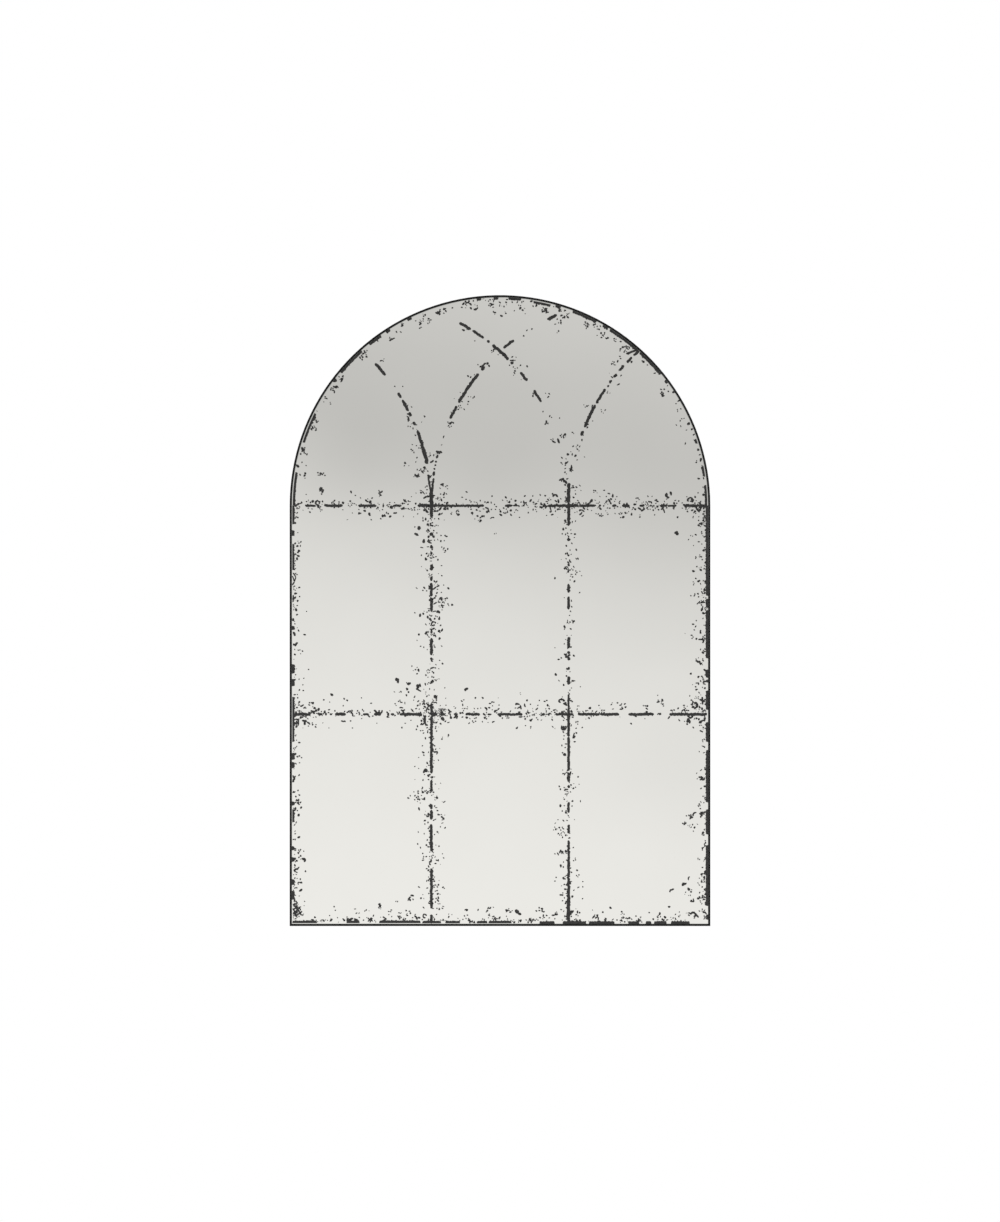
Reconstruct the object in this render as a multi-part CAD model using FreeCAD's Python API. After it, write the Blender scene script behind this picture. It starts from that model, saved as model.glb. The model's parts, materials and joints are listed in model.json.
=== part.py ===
import FreeCAD
import Part
import math
import os

# Arch-topped wall mirror: a tray of welded flat bar, a fibreboard panel screwed into it from
# behind, and one sheet of mirror glass bonded to the front of the panel.
# Millimetres. +Z is up, the mirror looks along -Y and the wall is on its +Y side.
# The origin is the middle of the frame's lower rear edge.

# Overall size
overall_width = 800.0
overall_height = 1200.0

# Frame of flat bar set on edge
bar_thick = 3.0
bar_depth = 25.0
bar_edge_break = 0.4

# Mirror glass, set back from the bar's front edge, with a bevel round its front
glass_thick = 4.0
glass_recess = 1.0
glass_gap = 0.4
bevel_width = 1.0
bevel_drop = 0.5

# Pads that carry the glass on the bottom bar
pad_length = 30.0
pad_place_share = 0.5

# Bonding tape between glass and board
tape_thick = 1.0
tape_width = 25.0
tape_end_margin = 40.0
tape_count = 5
tape_pitch_share = 0.375

# Backing board
board_thick = 9.0
board_gap = 1.0

# Tabs and corner gussets welded inside the frame, behind the board
tab_thick = 2.0
tab_reach = 30.0
tab_width = 20.0
arch_tab_count = 7
stile_tab_count = 2
bottom_tab_count = 2
gusset_leg = 60.0
gusset_tip = 6.0
gusset_hole_near = 12.0
gusset_hole_far = 36.0
sheet_hole = 4.5

# Pan-head screws
screw_shank = 3.5
screw_head = 7.0
screw_head_height = 2.2
screw_head_round = 1.1
screw_point = 2.5
screw_tip = 0.6
screw_embed = 7.5
recess_width = 1.0
recess_span = 4.2
recess_depth = 1.2
pilot_clear = 0.05
pilot_spare = 0.3

# Hangers: a strip folded round the ring's bar, and a D ring bent from wire
ring_wire = 3.0
ring_width = 24.0
ring_reach = 20.0
ring_bend = 3.0
ring_stop_clear = 0.3
strap_thick = 1.2
strap_width = 14.0
strap_loop_clear = 0.1
strap_fold_round = 1.0
strap_lap_step = 1.5
strap_end_margin = 8.0
strap_head_clear = 5.0
hanger_x_share = 0.825
hanger_z_share = 0.7083

# Rubber bumpers that keep the bar's rear edge off the wall
wall_gap = 2.0
bumper_foot = 18.0
bumper_nose = 15.0
bumper_round = 1.0
bumper_floor = 5.0
bumper_well = 9.4
bumper_bore = 4.3
washer_outer = 8.8
washer_hole = 4.2
washer_thick = 0.8
bumper_place_shares = [(-0.825, 0.075), (0.825, 0.075), (-0.5, 0.8833), (0.5, 0.8833)]

# How far a cutting shape runs past what it cuts
overrun = 1.0

# Places that follow from the sizes above
half_width = overall_width / 2
spring_z = overall_height - half_width
inner_radius = half_width - bar_thick
glass_inset = bar_thick + glass_gap
board_inset = bar_thick + board_gap
frame_front_y = -bar_depth
glass_front_y = frame_front_y + glass_recess
glass_rear_y = glass_front_y + glass_thick
board_front_y = glass_rear_y + tape_thick
board_rear_y = board_front_y + board_thick
tab_rear_y = board_rear_y + tab_thick
tab_hole_in = tab_reach - tab_width / 2

# The ring's bar lies in the strap's loop, which touches the board
loop_inner = ring_wire / 2 + strap_loop_clear
loop_outer = loop_inner + strap_thick
lap_thick = 2 * strap_thick
strap_hole_near = ring_reach / 2
strap_hole_far = ring_reach + ring_wire / 2 + strap_head_clear + screw_head / 2
ring_axis_y = board_rear_y + loop_outer
ring_axis_z = overall_height * hanger_z_share
hanger_x = half_width * hanger_x_share

# At rest the ring stands up and leans on the board, and it swings down onto the strap
ring_lean_up = math.degrees(math.asin((loop_outer - ring_wire / 2 - ring_stop_clear) / ring_reach))
ring_lean_down = math.degrees(
    math.asin((lap_thick + ring_wire / 2 + ring_stop_clear - loop_outer) / ring_reach))
ring_swing = 180 - ring_lean_up - ring_lean_down

V = FreeCAD.Vector
ORIGIN = V(0, 0, 0)
X_AXIS = V(1, 0, 0)
Y_AXIS = V(0, 1, 0)
Z_AXIS = V(0, 0, 1)


def line(start, end):
    """A straight edge."""
    return Part.LineSegment(start, end).toShape()


def arc(start, middle, end):
    """A round edge through three points."""
    return Part.Arc(start, middle, end).toShape()


def prism(points, run):
    """A closed outline of points, carried along run."""
    return Part.Face(Part.makePolygon(points + points[:1])).extrude(run)


def arched_wire(inset, y):
    """The frame's outline drawn in by inset, in the plane at depth y."""
    half = half_width - inset
    low_left = V(-half, y, inset)
    low_right = V(half, y, inset)
    spring_right = V(half, y, spring_z)
    spring_left = V(-half, y, spring_z)
    crown = V(0, y, spring_z + half)
    return Part.Wire([
        line(low_left, low_right),
        line(low_right, spring_right),
        arc(spring_right, crown, spring_left),
        line(spring_left, low_left),
    ])


def arched_plate(inset, front_y, thick):
    """A flat plate of the frame's outline drawn in by inset."""
    return Part.Face(arched_wire(inset, front_y)).extrude(Y_AXIS * thick)


def bar_section(place):
    """The flat bar's section, its front edges broken. place turns depth into the bar and y into a point."""
    front = frame_front_y
    corners = [
        (0, 0),
        (bar_thick, 0),
        (bar_thick, front + bar_edge_break),
        (bar_thick - bar_edge_break, front),
        (bar_edge_break, front),
        (0, front + bar_edge_break),
    ]
    points = [place(inward, y) for inward, y in corners]
    return Part.Face(Part.makePolygon(points + points[:1]))


def mitre_wedge(keep_upright):
    """What a 45 degree mitre takes off at the left lower corner, from the stile or from the bottom bar."""
    low = V(-half_width - overrun, frame_front_y - overrun, -overrun)
    high = V(-half_width + bar_thick + overrun, frame_front_y - overrun, bar_thick + overrun)
    third = V(high.x, low.y, low.z) if keep_upright else V(low.x, low.y, high.z)
    return prism([low, third, high], Y_AXIS * (bar_depth + 2 * overrun))


def mirrored(shape):
    """The same shape on the other side of the middle plane."""
    return shape.mirror(ORIGIN, X_AXIS)


def stile_bar():
    """The left upright bar, mitred at its foot."""
    section = bar_section(lambda inward, y: V(-half_width + inward, y, 0))
    return section.extrude(Z_AXIS * spring_z).cut(mitre_wedge(True))


def bottom_bar():
    """The bottom bar, mitred at both ends."""
    section = bar_section(lambda inward, y: V(-half_width, y, inward))
    bar = section.extrude(X_AXIS * overall_width)
    wedge = mitre_wedge(False)
    return bar.cut(wedge).cut(mirrored(wedge))


def arch_bar():
    """The bar bent to a half circle over the two uprights."""
    section = bar_section(lambda inward, y: V(half_width - inward, y, spring_z))
    return section.revolve(V(0, 0, spring_z), -Y_AXIS, 180)


def support_tab(hole, outward_deg):
    """A round-ended tab with its hole at hole, running out to the bar in the given direction."""
    run = tab_hole_in + bar_thick
    tongue = Part.makeBox(run, tab_thick, tab_width, V(0, 0, -tab_width / 2))
    end = Part.makeCylinder(tab_width / 2, tab_thick, ORIGIN, Y_AXIS)
    bore = Part.makeCylinder(sheet_hole / 2, tab_thick + 2 * overrun, Y_AXIS * -overrun, Y_AXIS)
    tab = tongue.fuse(end).removeSplitter().cut(bore)
    tab.rotate(ORIGIN, Y_AXIS, -outward_deg)
    tab.translate(hole)
    return tab.common(arched_plate(bar_thick, board_rear_y, tab_thick))


def tab_places():
    """Name, hole and outward direction of every support tab."""
    places = []
    hole_radius = inner_radius - tab_hole_in
    for k in range(arch_tab_count):
        turn = 180 * k / (arch_tab_count - 1)
        x = hole_radius * math.cos(math.radians(turn))
        z = hole_radius * math.sin(math.radians(turn))
        places.append((f"arch_tab_{k + 1}", V(x, board_rear_y, spring_z + z), turn))
    for k in range(stile_tab_count):
        z = spring_z * (k + 1) / (stile_tab_count + 1)
        places.append((f"left_tab_{k + 1}", V(-hole_radius, board_rear_y, z), 180))
        places.append((f"right_tab_{k + 1}", V(hole_radius, board_rear_y, z), 0))
    for k in range(bottom_tab_count):
        x = overall_width * ((k + 1) / (bottom_tab_count + 1) - 1 / 2)
        places.append((f"bottom_tab_{k + 1}", V(x, board_rear_y, bar_thick + tab_hole_in), 270))
    return places


def gusset_holes():
    """The two holes of the left corner gusset."""
    spans = [(gusset_hole_near, gusset_hole_far), (gusset_hole_far, gusset_hole_near)]
    return [V(-inner_radius + along, board_rear_y, bar_thick + up) for along, up in spans]


def corner_gusset():
    """The triangular plate in the left lower corner, its two sharp tips cut off."""
    corner = V(-inner_radius, board_rear_y, bar_thick)
    spans = [(0, 0), (gusset_leg, 0), (gusset_leg, gusset_tip), (gusset_tip, gusset_leg), (0, gusset_leg)]
    plate = prism([corner + V(along, 0, up) for along, up in spans], Y_AXIS * tab_thick)
    for hole in gusset_holes():
        start = hole - Y_AXIS * overrun
        plate = plate.cut(Part.makeCylinder(sheet_hole / 2, tab_thick + 2 * overrun, start, Y_AXIS))
    return plate


def pan_screw(seat, length):
    """A pan-head screw whose head lies on seat, with its point length in front of it."""
    head = Part.makeCylinder(screw_head / 2, screw_head_height, ORIGIN, Y_AXIS)
    rim = [edge for edge in head.Edges if edge.BoundBox.YMin > screw_head_height / 2]
    head = head.makeFillet(screw_head_round, rim)
    shank_run = length - screw_point
    shank = Part.makeCylinder(screw_shank / 2, shank_run, ORIGIN, -Y_AXIS)
    point = Part.makeCone(screw_shank / 2, screw_tip / 2, screw_point, Y_AXIS * -shank_run, -Y_AXIS)
    floor_y = screw_head_height - recess_depth
    bar = Part.makeBox(recess_span, recess_depth + overrun, recess_width,
                       V(-recess_span / 2, floor_y, -recess_width / 2))
    cross_bar = Part.makeBox(recess_width, recess_depth + overrun, recess_span,
                             V(-recess_width / 2, floor_y, -recess_span / 2))
    screw = head.fuse([shank, point]).removeSplitter().cut([bar, cross_bar])
    screw.translate(seat)
    return screw


def seats_on_tabs():
    """Where the board screws' heads lie: on every tab and gusset."""
    holes = [hole for name, hole, turn in tab_places()]
    for hole in gusset_holes():
        holes += [hole, V(-hole.x, hole.y, hole.z)]
    return [V(hole.x, tab_rear_y, hole.z) for hole in holes]


def seats_on_straps():
    """Where the hanger screws' heads lie: two on each strap."""
    drops = [strap_hole_near, strap_hole_far]
    y = board_rear_y + lap_thick
    return [V(x, y, ring_axis_z - drop) for x in (-hanger_x, hanger_x) for drop in drops]


def bumper_feet():
    """Where each bumper's foot stands on the board."""
    return [V(half_width * across, board_rear_y, overall_height * up) for across, up in bumper_place_shares]


def seats_in_bumpers():
    """Where the bumper screws' heads lie: on the washer at the bottom of each well."""
    return [foot + Y_AXIS * (bumper_floor + washer_thick) for foot in bumper_feet()]


def backing_board():
    """The board, with a pilot hole for every screw."""
    board = arched_plate(board_inset, board_front_y, board_thick)
    pilots = []
    for seat in seats_on_tabs() + seats_on_straps() + seats_in_bumpers():
        start = V(seat.x, board_rear_y + overrun, seat.z)
        depth = screw_embed + pilot_spare + overrun
        pilots.append(Part.makeCylinder(screw_shank / 2 + pilot_clear, depth, start, -Y_AXIS))
    return board.cut(pilots)


def mirror_glass():
    """The sheet of glass with a bevel round its front face."""
    bevel_y = glass_front_y + bevel_drop
    body = arched_plate(glass_inset, bevel_y, glass_thick - bevel_drop)
    slope = Part.makeLoft([
        arched_wire(glass_inset, bevel_y),
        arched_wire(glass_inset + bevel_width, glass_front_y),
    ], True, True)
    return body.fuse(slope).removeSplitter()


def setting_pad(x):
    """A pad between the bottom bar and the lower edge of the glass."""
    return Part.makeBox(pad_length, glass_thick - bevel_drop, glass_gap,
                        V(x - pad_length / 2, glass_front_y + bevel_drop, bar_thick))


def bond_tape(x):
    """One upright strip of tape, ending short of the glass edge."""
    low = bar_thick + tape_end_margin
    reach = inner_radius - tape_end_margin
    outer_x = abs(x) + tape_width / 2
    high = spring_z + math.sqrt(reach ** 2 - outer_x ** 2)
    return Part.makeBox(tape_width, tape_thick, high - low, V(x - tape_width / 2, glass_rear_y, low))


def strap_layer(step, drop):
    """One layer of the folded strip below its loop, with a round end. step counts from the board."""
    y = -loop_outer + step * strap_thick
    end_z = -drop + strap_width / 2
    leg = Part.makeBox(strap_width, strap_thick, -end_z, V(-strap_width / 2, y, end_z))
    return leg.fuse(Part.makeCylinder(strap_width / 2, strap_thick, V(0, y, end_z), Y_AXIS))


def hanger_strap(x):
    """The strip folded round the ring's bar, with two screw holes."""
    drop = strap_hole_far + strap_end_margin
    side = V(-strap_width / 2, 0, 0)
    loop = Part.makeCylinder(loop_outer, strap_width, side, X_AXIS)
    body = loop.fuse([strap_layer(0, drop), strap_layer(1, drop - strap_lap_step)]).removeSplitter()
    fold_y = lap_thick - loop_outer
    folds = [edge for edge in body.Edges
             if edge.BoundBox.XLength > strap_width / 2
             and edge.BoundBox.YLength < overrun * pilot_clear
             and edge.BoundBox.ZLength < overrun * pilot_clear
             and abs(edge.BoundBox.YMin - fold_y) < pilot_clear
             and edge.BoundBox.ZMin > -2 * loop_outer]
    body = body.makeFillet(strap_fold_round, folds)
    bore = Part.makeCylinder(loop_inner, strap_width + 2 * overrun, side - X_AXIS * overrun, X_AXIS)
    holes = [Part.makeCylinder(sheet_hole / 2, 2 * loop_outer, V(0, -2 * loop_outer, -hole), Y_AXIS)
             for hole in (strap_hole_near, strap_hole_far)]
    strap = body.cut([bore] + holes)
    strap.translate(V(x, ring_axis_y, ring_axis_z))
    return strap


def d_ring(x):
    """A D ring bent from round wire, standing up from its bar and leaning on the board."""
    side = ring_width / 2
    flat = side - ring_bend
    bend_mid = ring_bend * math.sin(math.radians(45))
    bow_z = ring_reach - side
    path = Part.Wire([
        line(V(-flat, 0, 0), V(flat, 0, 0)),
        arc(V(flat, 0, 0), V(flat + bend_mid, 0, ring_bend - bend_mid), V(side, 0, ring_bend)),
        line(V(side, 0, ring_bend), V(side, 0, bow_z)),
        arc(V(side, 0, bow_z), V(0, 0, ring_reach), V(-side, 0, bow_z)),
        line(V(-side, 0, bow_z), V(-side, 0, ring_bend)),
        arc(V(-side, 0, ring_bend), V(-flat - bend_mid, 0, ring_bend - bend_mid), V(-flat, 0, 0)),
    ])
    section = Part.Wire(Part.makeCircle(ring_wire / 2, V(-flat, 0, 0), X_AXIS))
    ring = path.makePipeShell([section], True, False)
    ring.rotate(ORIGIN, X_AXIS, ring_lean_up)
    ring.translate(V(x, ring_axis_y, ring_axis_z))
    return ring


def wall_bumper(foot):
    """A tapered rubber bumper with a bore for its screw and a well for the screw's head."""
    height = wall_gap - board_rear_y
    body = Part.makeCone(bumper_foot / 2, bumper_nose / 2, height, ORIGIN, Y_AXIS)
    rim = [edge for edge in body.Edges if edge.BoundBox.YMin > height / 2]
    body = body.makeFillet(bumper_round, rim)
    bore = Part.makeCylinder(bumper_bore / 2, height, Y_AXIS * -overrun, Y_AXIS)
    well = Part.makeCylinder(bumper_well / 2, height, Y_AXIS * bumper_floor, Y_AXIS)
    bumper = body.cut([bore, well])
    bumper.translate(foot)
    return bumper


def bumper_washer(foot):
    """The washer under the screw's head at the bottom of the well."""
    start = foot + Y_AXIS * bumper_floor
    disc = Part.makeCylinder(washer_outer / 2, washer_thick, start, Y_AXIS)
    hole = Part.makeCylinder(washer_hole / 2, washer_thick + 2 * overrun, start - Y_AXIS * overrun, Y_AXIS)
    return disc.cut(hole)


def build():
    """Every node's shape by its name."""
    stile = stile_bar()
    gusset = corner_gusset()
    nodes = {
        "frame_arch_bar": arch_bar(),
        "frame_left_bar": stile,
        "frame_right_bar": mirrored(stile),
        "frame_bottom_bar": bottom_bar(),
        "corner_gusset_left": gusset,
        "corner_gusset_right": mirrored(gusset),
        "backing_board": backing_board(),
        "mirror_glass": mirror_glass(),
    }
    for name, hole, turn in tab_places():
        nodes[name] = support_tab(hole, turn)
    for name, side in (("left", -1), ("right", 1)):
        nodes[f"setting_pad_{name}"] = setting_pad(side * half_width * pad_place_share)
        nodes[f"hanger_strap_{name}"] = hanger_strap(side * hanger_x)
        nodes[f"d_ring_{name}"] = d_ring(side * hanger_x)
    for k in range(tape_count):
        x = half_width * tape_pitch_share * (k - (tape_count - 1) / 2)
        nodes[f"bond_tape_{k + 1}"] = bond_tape(x)
    feet = bumper_feet()
    for k, foot in enumerate(feet):
        nodes[f"wall_bumper_{k + 1}"] = wall_bumper(foot)
    nodes["bumper_washers"] = Part.makeCompound([bumper_washer(foot) for foot in feet])
    groups = {
        "board_screws": (seats_on_tabs(), tab_thick),
        "hanger_screws": (seats_on_straps(), lap_thick),
        "bumper_screws": (seats_in_bumpers(), bumper_floor + washer_thick),
    }
    for name, (seats, grip) in groups.items():
        nodes[name] = Part.makeCompound([pan_screw(seat, grip + screw_embed) for seat in seats])
    return nodes


os.makedirs("parts", exist_ok=True)
for node, shape in build().items():
    shape.exportStep(f"parts/{node}.step")
    print(f"{node}: {len(shape.Solids)} solid, valid {shape.isValid()}, {shape.Volume / 1000:.2f} cm3")
print(f"ring axis at x {hanger_x:.2f}, y {ring_axis_y:.2f}, z {ring_axis_z:.2f}")
print(f"ring leans {ring_lean_up:.2f} at rest and swings {ring_swing:.2f} degrees down to the strap")
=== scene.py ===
"""Looks of an arch-topped wall mirror: its frame, its antiqued glass, its back and the studio round it.

Metres. +Z is up, the mirror looks along -Y and the wall is on its +Y side. Places on the glass are
written in millimetres from the middle of the frame's lower edge and scaled by MM.
"""
import json
import logging
import math
from dataclasses import dataclass, field
from enum import Enum
from typing import Callable, Union

import bpy
import numpy as np
from numpy.typing import NDArray
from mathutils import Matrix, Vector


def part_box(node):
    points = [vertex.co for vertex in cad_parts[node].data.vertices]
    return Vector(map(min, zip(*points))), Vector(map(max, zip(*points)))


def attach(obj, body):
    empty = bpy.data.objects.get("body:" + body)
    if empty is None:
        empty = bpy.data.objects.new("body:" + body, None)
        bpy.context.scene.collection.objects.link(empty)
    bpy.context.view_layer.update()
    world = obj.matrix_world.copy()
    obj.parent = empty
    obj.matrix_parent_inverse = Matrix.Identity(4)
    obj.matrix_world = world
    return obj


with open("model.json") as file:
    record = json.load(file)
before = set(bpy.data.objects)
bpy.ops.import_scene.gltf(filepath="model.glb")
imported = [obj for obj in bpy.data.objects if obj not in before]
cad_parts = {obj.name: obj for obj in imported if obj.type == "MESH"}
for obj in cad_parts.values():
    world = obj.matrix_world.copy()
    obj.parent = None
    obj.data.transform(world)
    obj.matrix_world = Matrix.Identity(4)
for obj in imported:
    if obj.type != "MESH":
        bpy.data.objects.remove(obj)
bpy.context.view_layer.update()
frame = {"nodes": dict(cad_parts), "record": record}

LOG = logging.getLogger("arched_mirror")
MM = 0.001

Array = NDArray[np.float64]
Colour = tuple[float, float, float, float]
Point = tuple[float, float, float]
Range = tuple[float, float]
Spans = tuple[tuple[float, ...], ...]


class Body(Enum):
    """The body that new pieces ride on. The rings' bodies carry CAD nodes alone."""

    MIRROR = "mirror"


class Slot(Enum):
    """The record's finishes."""

    FRAME_COAT = "frame_coat"
    SILVERED_GLASS = "silvered_glass"
    FIBREBOARD = "fibreboard"
    FOAM_TAPE = "foam_tape"
    PAD_RUBBER = "pad_rubber"
    BUMPER_RUBBER = "bumper_rubber"
    ZINC_PLATE = "zinc_plate"
    NICKEL_WIRE = "nickel_wire"


def grey(tone: float) -> Colour:
    """An opaque grey."""
    return (tone, tone, tone, 1.0)


@dataclass(frozen=True)
class Grain:
    """Cloudy noise: how large its lumps are, how fine and how strong its layers, and how it curls."""

    size: float
    detail: float = 2.0
    rough: float = 0.5
    curl: float = 0.0

    @property
    def inputs(self) -> dict[str, float]:
        """The noise's values by socket name."""
        scale = 1.0 / self.size
        return {"Scale": scale, "Detail": self.detail, "Roughness": self.rough, "Distortion": self.curl}


def operator(operation: str, flipped: bool = False) -> Callable[["Sock", "Value"], "Sock"]:
    """A method for an operator.

    Args:
        operation: the Math node's operation.
        flipped: whether the other value comes first.

    Returns:
        A function of the socket and the other value that adds one Math node.
    """
    def act(own: "Sock", other: "Value") -> "Sock":
        """The node's output."""
        pair = (other, own) if flipped else (own, other)
        return own.graph.maths(operation, *pair)
    return act


class Sock:
    """A node's output that can stand in sums. The comparison is one where it holds and zero elsewhere."""

    def __init__(self, graph: "Graph", socket: bpy.types.NodeSocket) -> None:
        """Keeps the socket and the graph that it is in."""
        self.graph = graph
        self.socket = socket

    __add__ = __radd__ = operator("ADD")
    __mul__ = __rmul__ = operator("MULTIPLY")
    __sub__ = operator("SUBTRACT")
    __rsub__ = operator("SUBTRACT", flipped=True)
    __gt__ = operator("GREATER_THAN")


Value = Union[Sock, float, Colour, Point]


class Graph:
    """A node tree that is filled through one method."""

    def __init__(self, tree: bpy.types.NodeTree) -> None:
        """Empties the node tree of a material or a world."""
        self.tree = tree
        self.tree.nodes.clear()

    def node(self, kind: str, settings: dict, inputs: dict, output: Union[int, str] = 0) -> Sock:
        """Adds a node.

        Args:
            kind: the node's type.
            settings: its settings by name. "stops" holds a ramp's stops as (position, tone) pairs.
            inputs: values or links of its sockets, by name or number.
            output: the socket that is wanted.

        Returns:
            The node's output.
        """
        made = self.tree.nodes.new(kind)
        for name, value in settings.items():
            if name == "stops":
                self._set_stops(made.color_ramp, value)
            else:
                setattr(made, name, value)
        for key, value in inputs.items():
            if isinstance(value, Sock):
                self.tree.links.new(value.socket, made.inputs[key])
            else:
                made.inputs[key].default_value = value
        return Sock(self, made.outputs[output])

    @staticmethod
    def _set_stops(ramp: bpy.types.ColorRamp, stops: Spans) -> None:
        """Gives a grey ramp its stops and a smooth course past them.

        Args:
            ramp: the ramp.
            stops: a position and a tone for each stop.
        """
        ramp.interpolation = "B_SPLINE"
        while len(ramp.elements) < len(stops):
            ramp.elements.new(1.0)
        for element, (position, tone) in zip(ramp.elements, stops):
            element.position = position
            element.color = grey(tone)

    def close(self, kind: str, shader: Sock) -> None:
        """Joins a shader to an output node of a kind."""
        output = self.tree.nodes.new(kind)
        self.tree.links.new(shader.socket, output.inputs["Surface"])

    def maths(self, operation: str, first: Value, second: Value = 0.0) -> Sock:
        """One Math node on two values."""
        return self.node("ShaderNodeMath", {"operation": operation}, {0: first, 1: second})

    def hypot(self, across: Sock, up: Sock) -> Sock:
        """The length of the diagonal."""
        return self.maths("SQRT", across * across + up * up)

    def mix(self, share: Value, first: Value, second: Value) -> Sock:
        """A colour between two colours."""
        kind = {"data_type": "RGBA"}
        return self.node("ShaderNodeMix", kind, {0: share, 6: first, 7: second}, 2)

    def spread(self, value: Value, span: Range, onto: Range = (0.0, 1.0)) -> Sock:
        """Value carried smoothly from the range span onto another range."""
        inputs = dict(zip(("Value", "From Min", "From Max", "To Min", "To Max"), (value, *span, *onto)))
        return self.node("ShaderNodeMapRange", {"interpolation_type": "SMOOTHSTEP"}, inputs)

    def place(self, scale: Point = (1.0, 1.0, 1.0)) -> Sock:
        """The object's own coordinates, stretched."""
        own = self.node("ShaderNodeTexCoord", {}, {}, "Object")
        return self.node("ShaderNodeMapping", {}, {"Vector": own, "Scale": scale})

    def noise(self, place: Sock, grain: Grain) -> Sock:
        """Cloudy noise of a grain."""
        return self.node("ShaderNodeTexNoise", {}, {"Vector": place, **grain.inputs}, "Fac")

    def bump(self, height: Sock, depth: float, strength: float = 1.0) -> Sock:
        """A normal from a height map that is depth deep."""
        inputs = {"Height": height, "Distance": depth, "Strength": strength}
        return self.node("ShaderNodeBump", {}, inputs, "Normal")

    def axes(self, vector: Sock) -> tuple[Sock, Sock, Sock]:
        """The three parts of a vector."""
        split = self.node("ShaderNodeSeparateXYZ", {}, {"Vector": vector}).socket.node
        return tuple(Sock(self, socket) for socket in split.outputs)


@dataclass(frozen=True)
class Finish:
    """A named surface finish. Each kind says what goes into its shader."""

    name: str

    def surface(self, graph: Graph) -> dict[str, Value]:
        """What goes into the principled shader.

        Args:
            graph: the material's nodes.

        Returns:
            Values or links by socket name.
        """
        raise NotImplementedError

    def shader(self, graph: Graph) -> Sock:
        """The whole shader."""
        return graph.node("ShaderNodeBsdfPrincipled", {}, self.surface(graph))

    def make(self) -> bpy.types.Material:
        """The finish as a new material.

        Returns:
            The material.
        """
        material = bpy.data.materials.new(self.name)
        material.use_nodes = True
        graph = Graph(material.node_tree)
        graph.close("ShaderNodeOutputMaterial", self.shader(graph))
        return material


@dataclass(frozen=True)
class PowderCoat(Finish):
    """Near-black powder coat: satin, with a fine pebbled skin."""

    dark: Colour = (0.0042, 0.0040, 0.0036, 1.0)
    light: Colour = (0.0072, 0.0069, 0.0062, 1.0)
    pebble: Grain = Grain(0.55 * MM, 3.0, 0.55)
    patch: Grain = Grain(60 * MM)
    depth: float = 0.035 * MM
    roughness: float = 0.42
    patch_rough: float = 0.14
    pebble_rough: float = 0.08
    specular: float = 0.10

    def surface(self, graph: Graph) -> dict[str, Value]:
        """Pebbles in the bump, and slow drifts of tone and gloss.

        Args:
            graph: the material's nodes.

        Returns:
            Values or links by socket name.
        """
        place = graph.place()
        pebbles = graph.noise(place, self.pebble)
        drift = graph.noise(place, self.patch)
        return {
            "Base Color": graph.mix(drift, self.dark, self.light),
            "Roughness": self.roughness + self.patch_rough * drift + self.pebble_rough * pebbles,
            "Specular IOR Level": self.specular,
            "Normal": graph.bump(pebbles, self.depth),
        }


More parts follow.
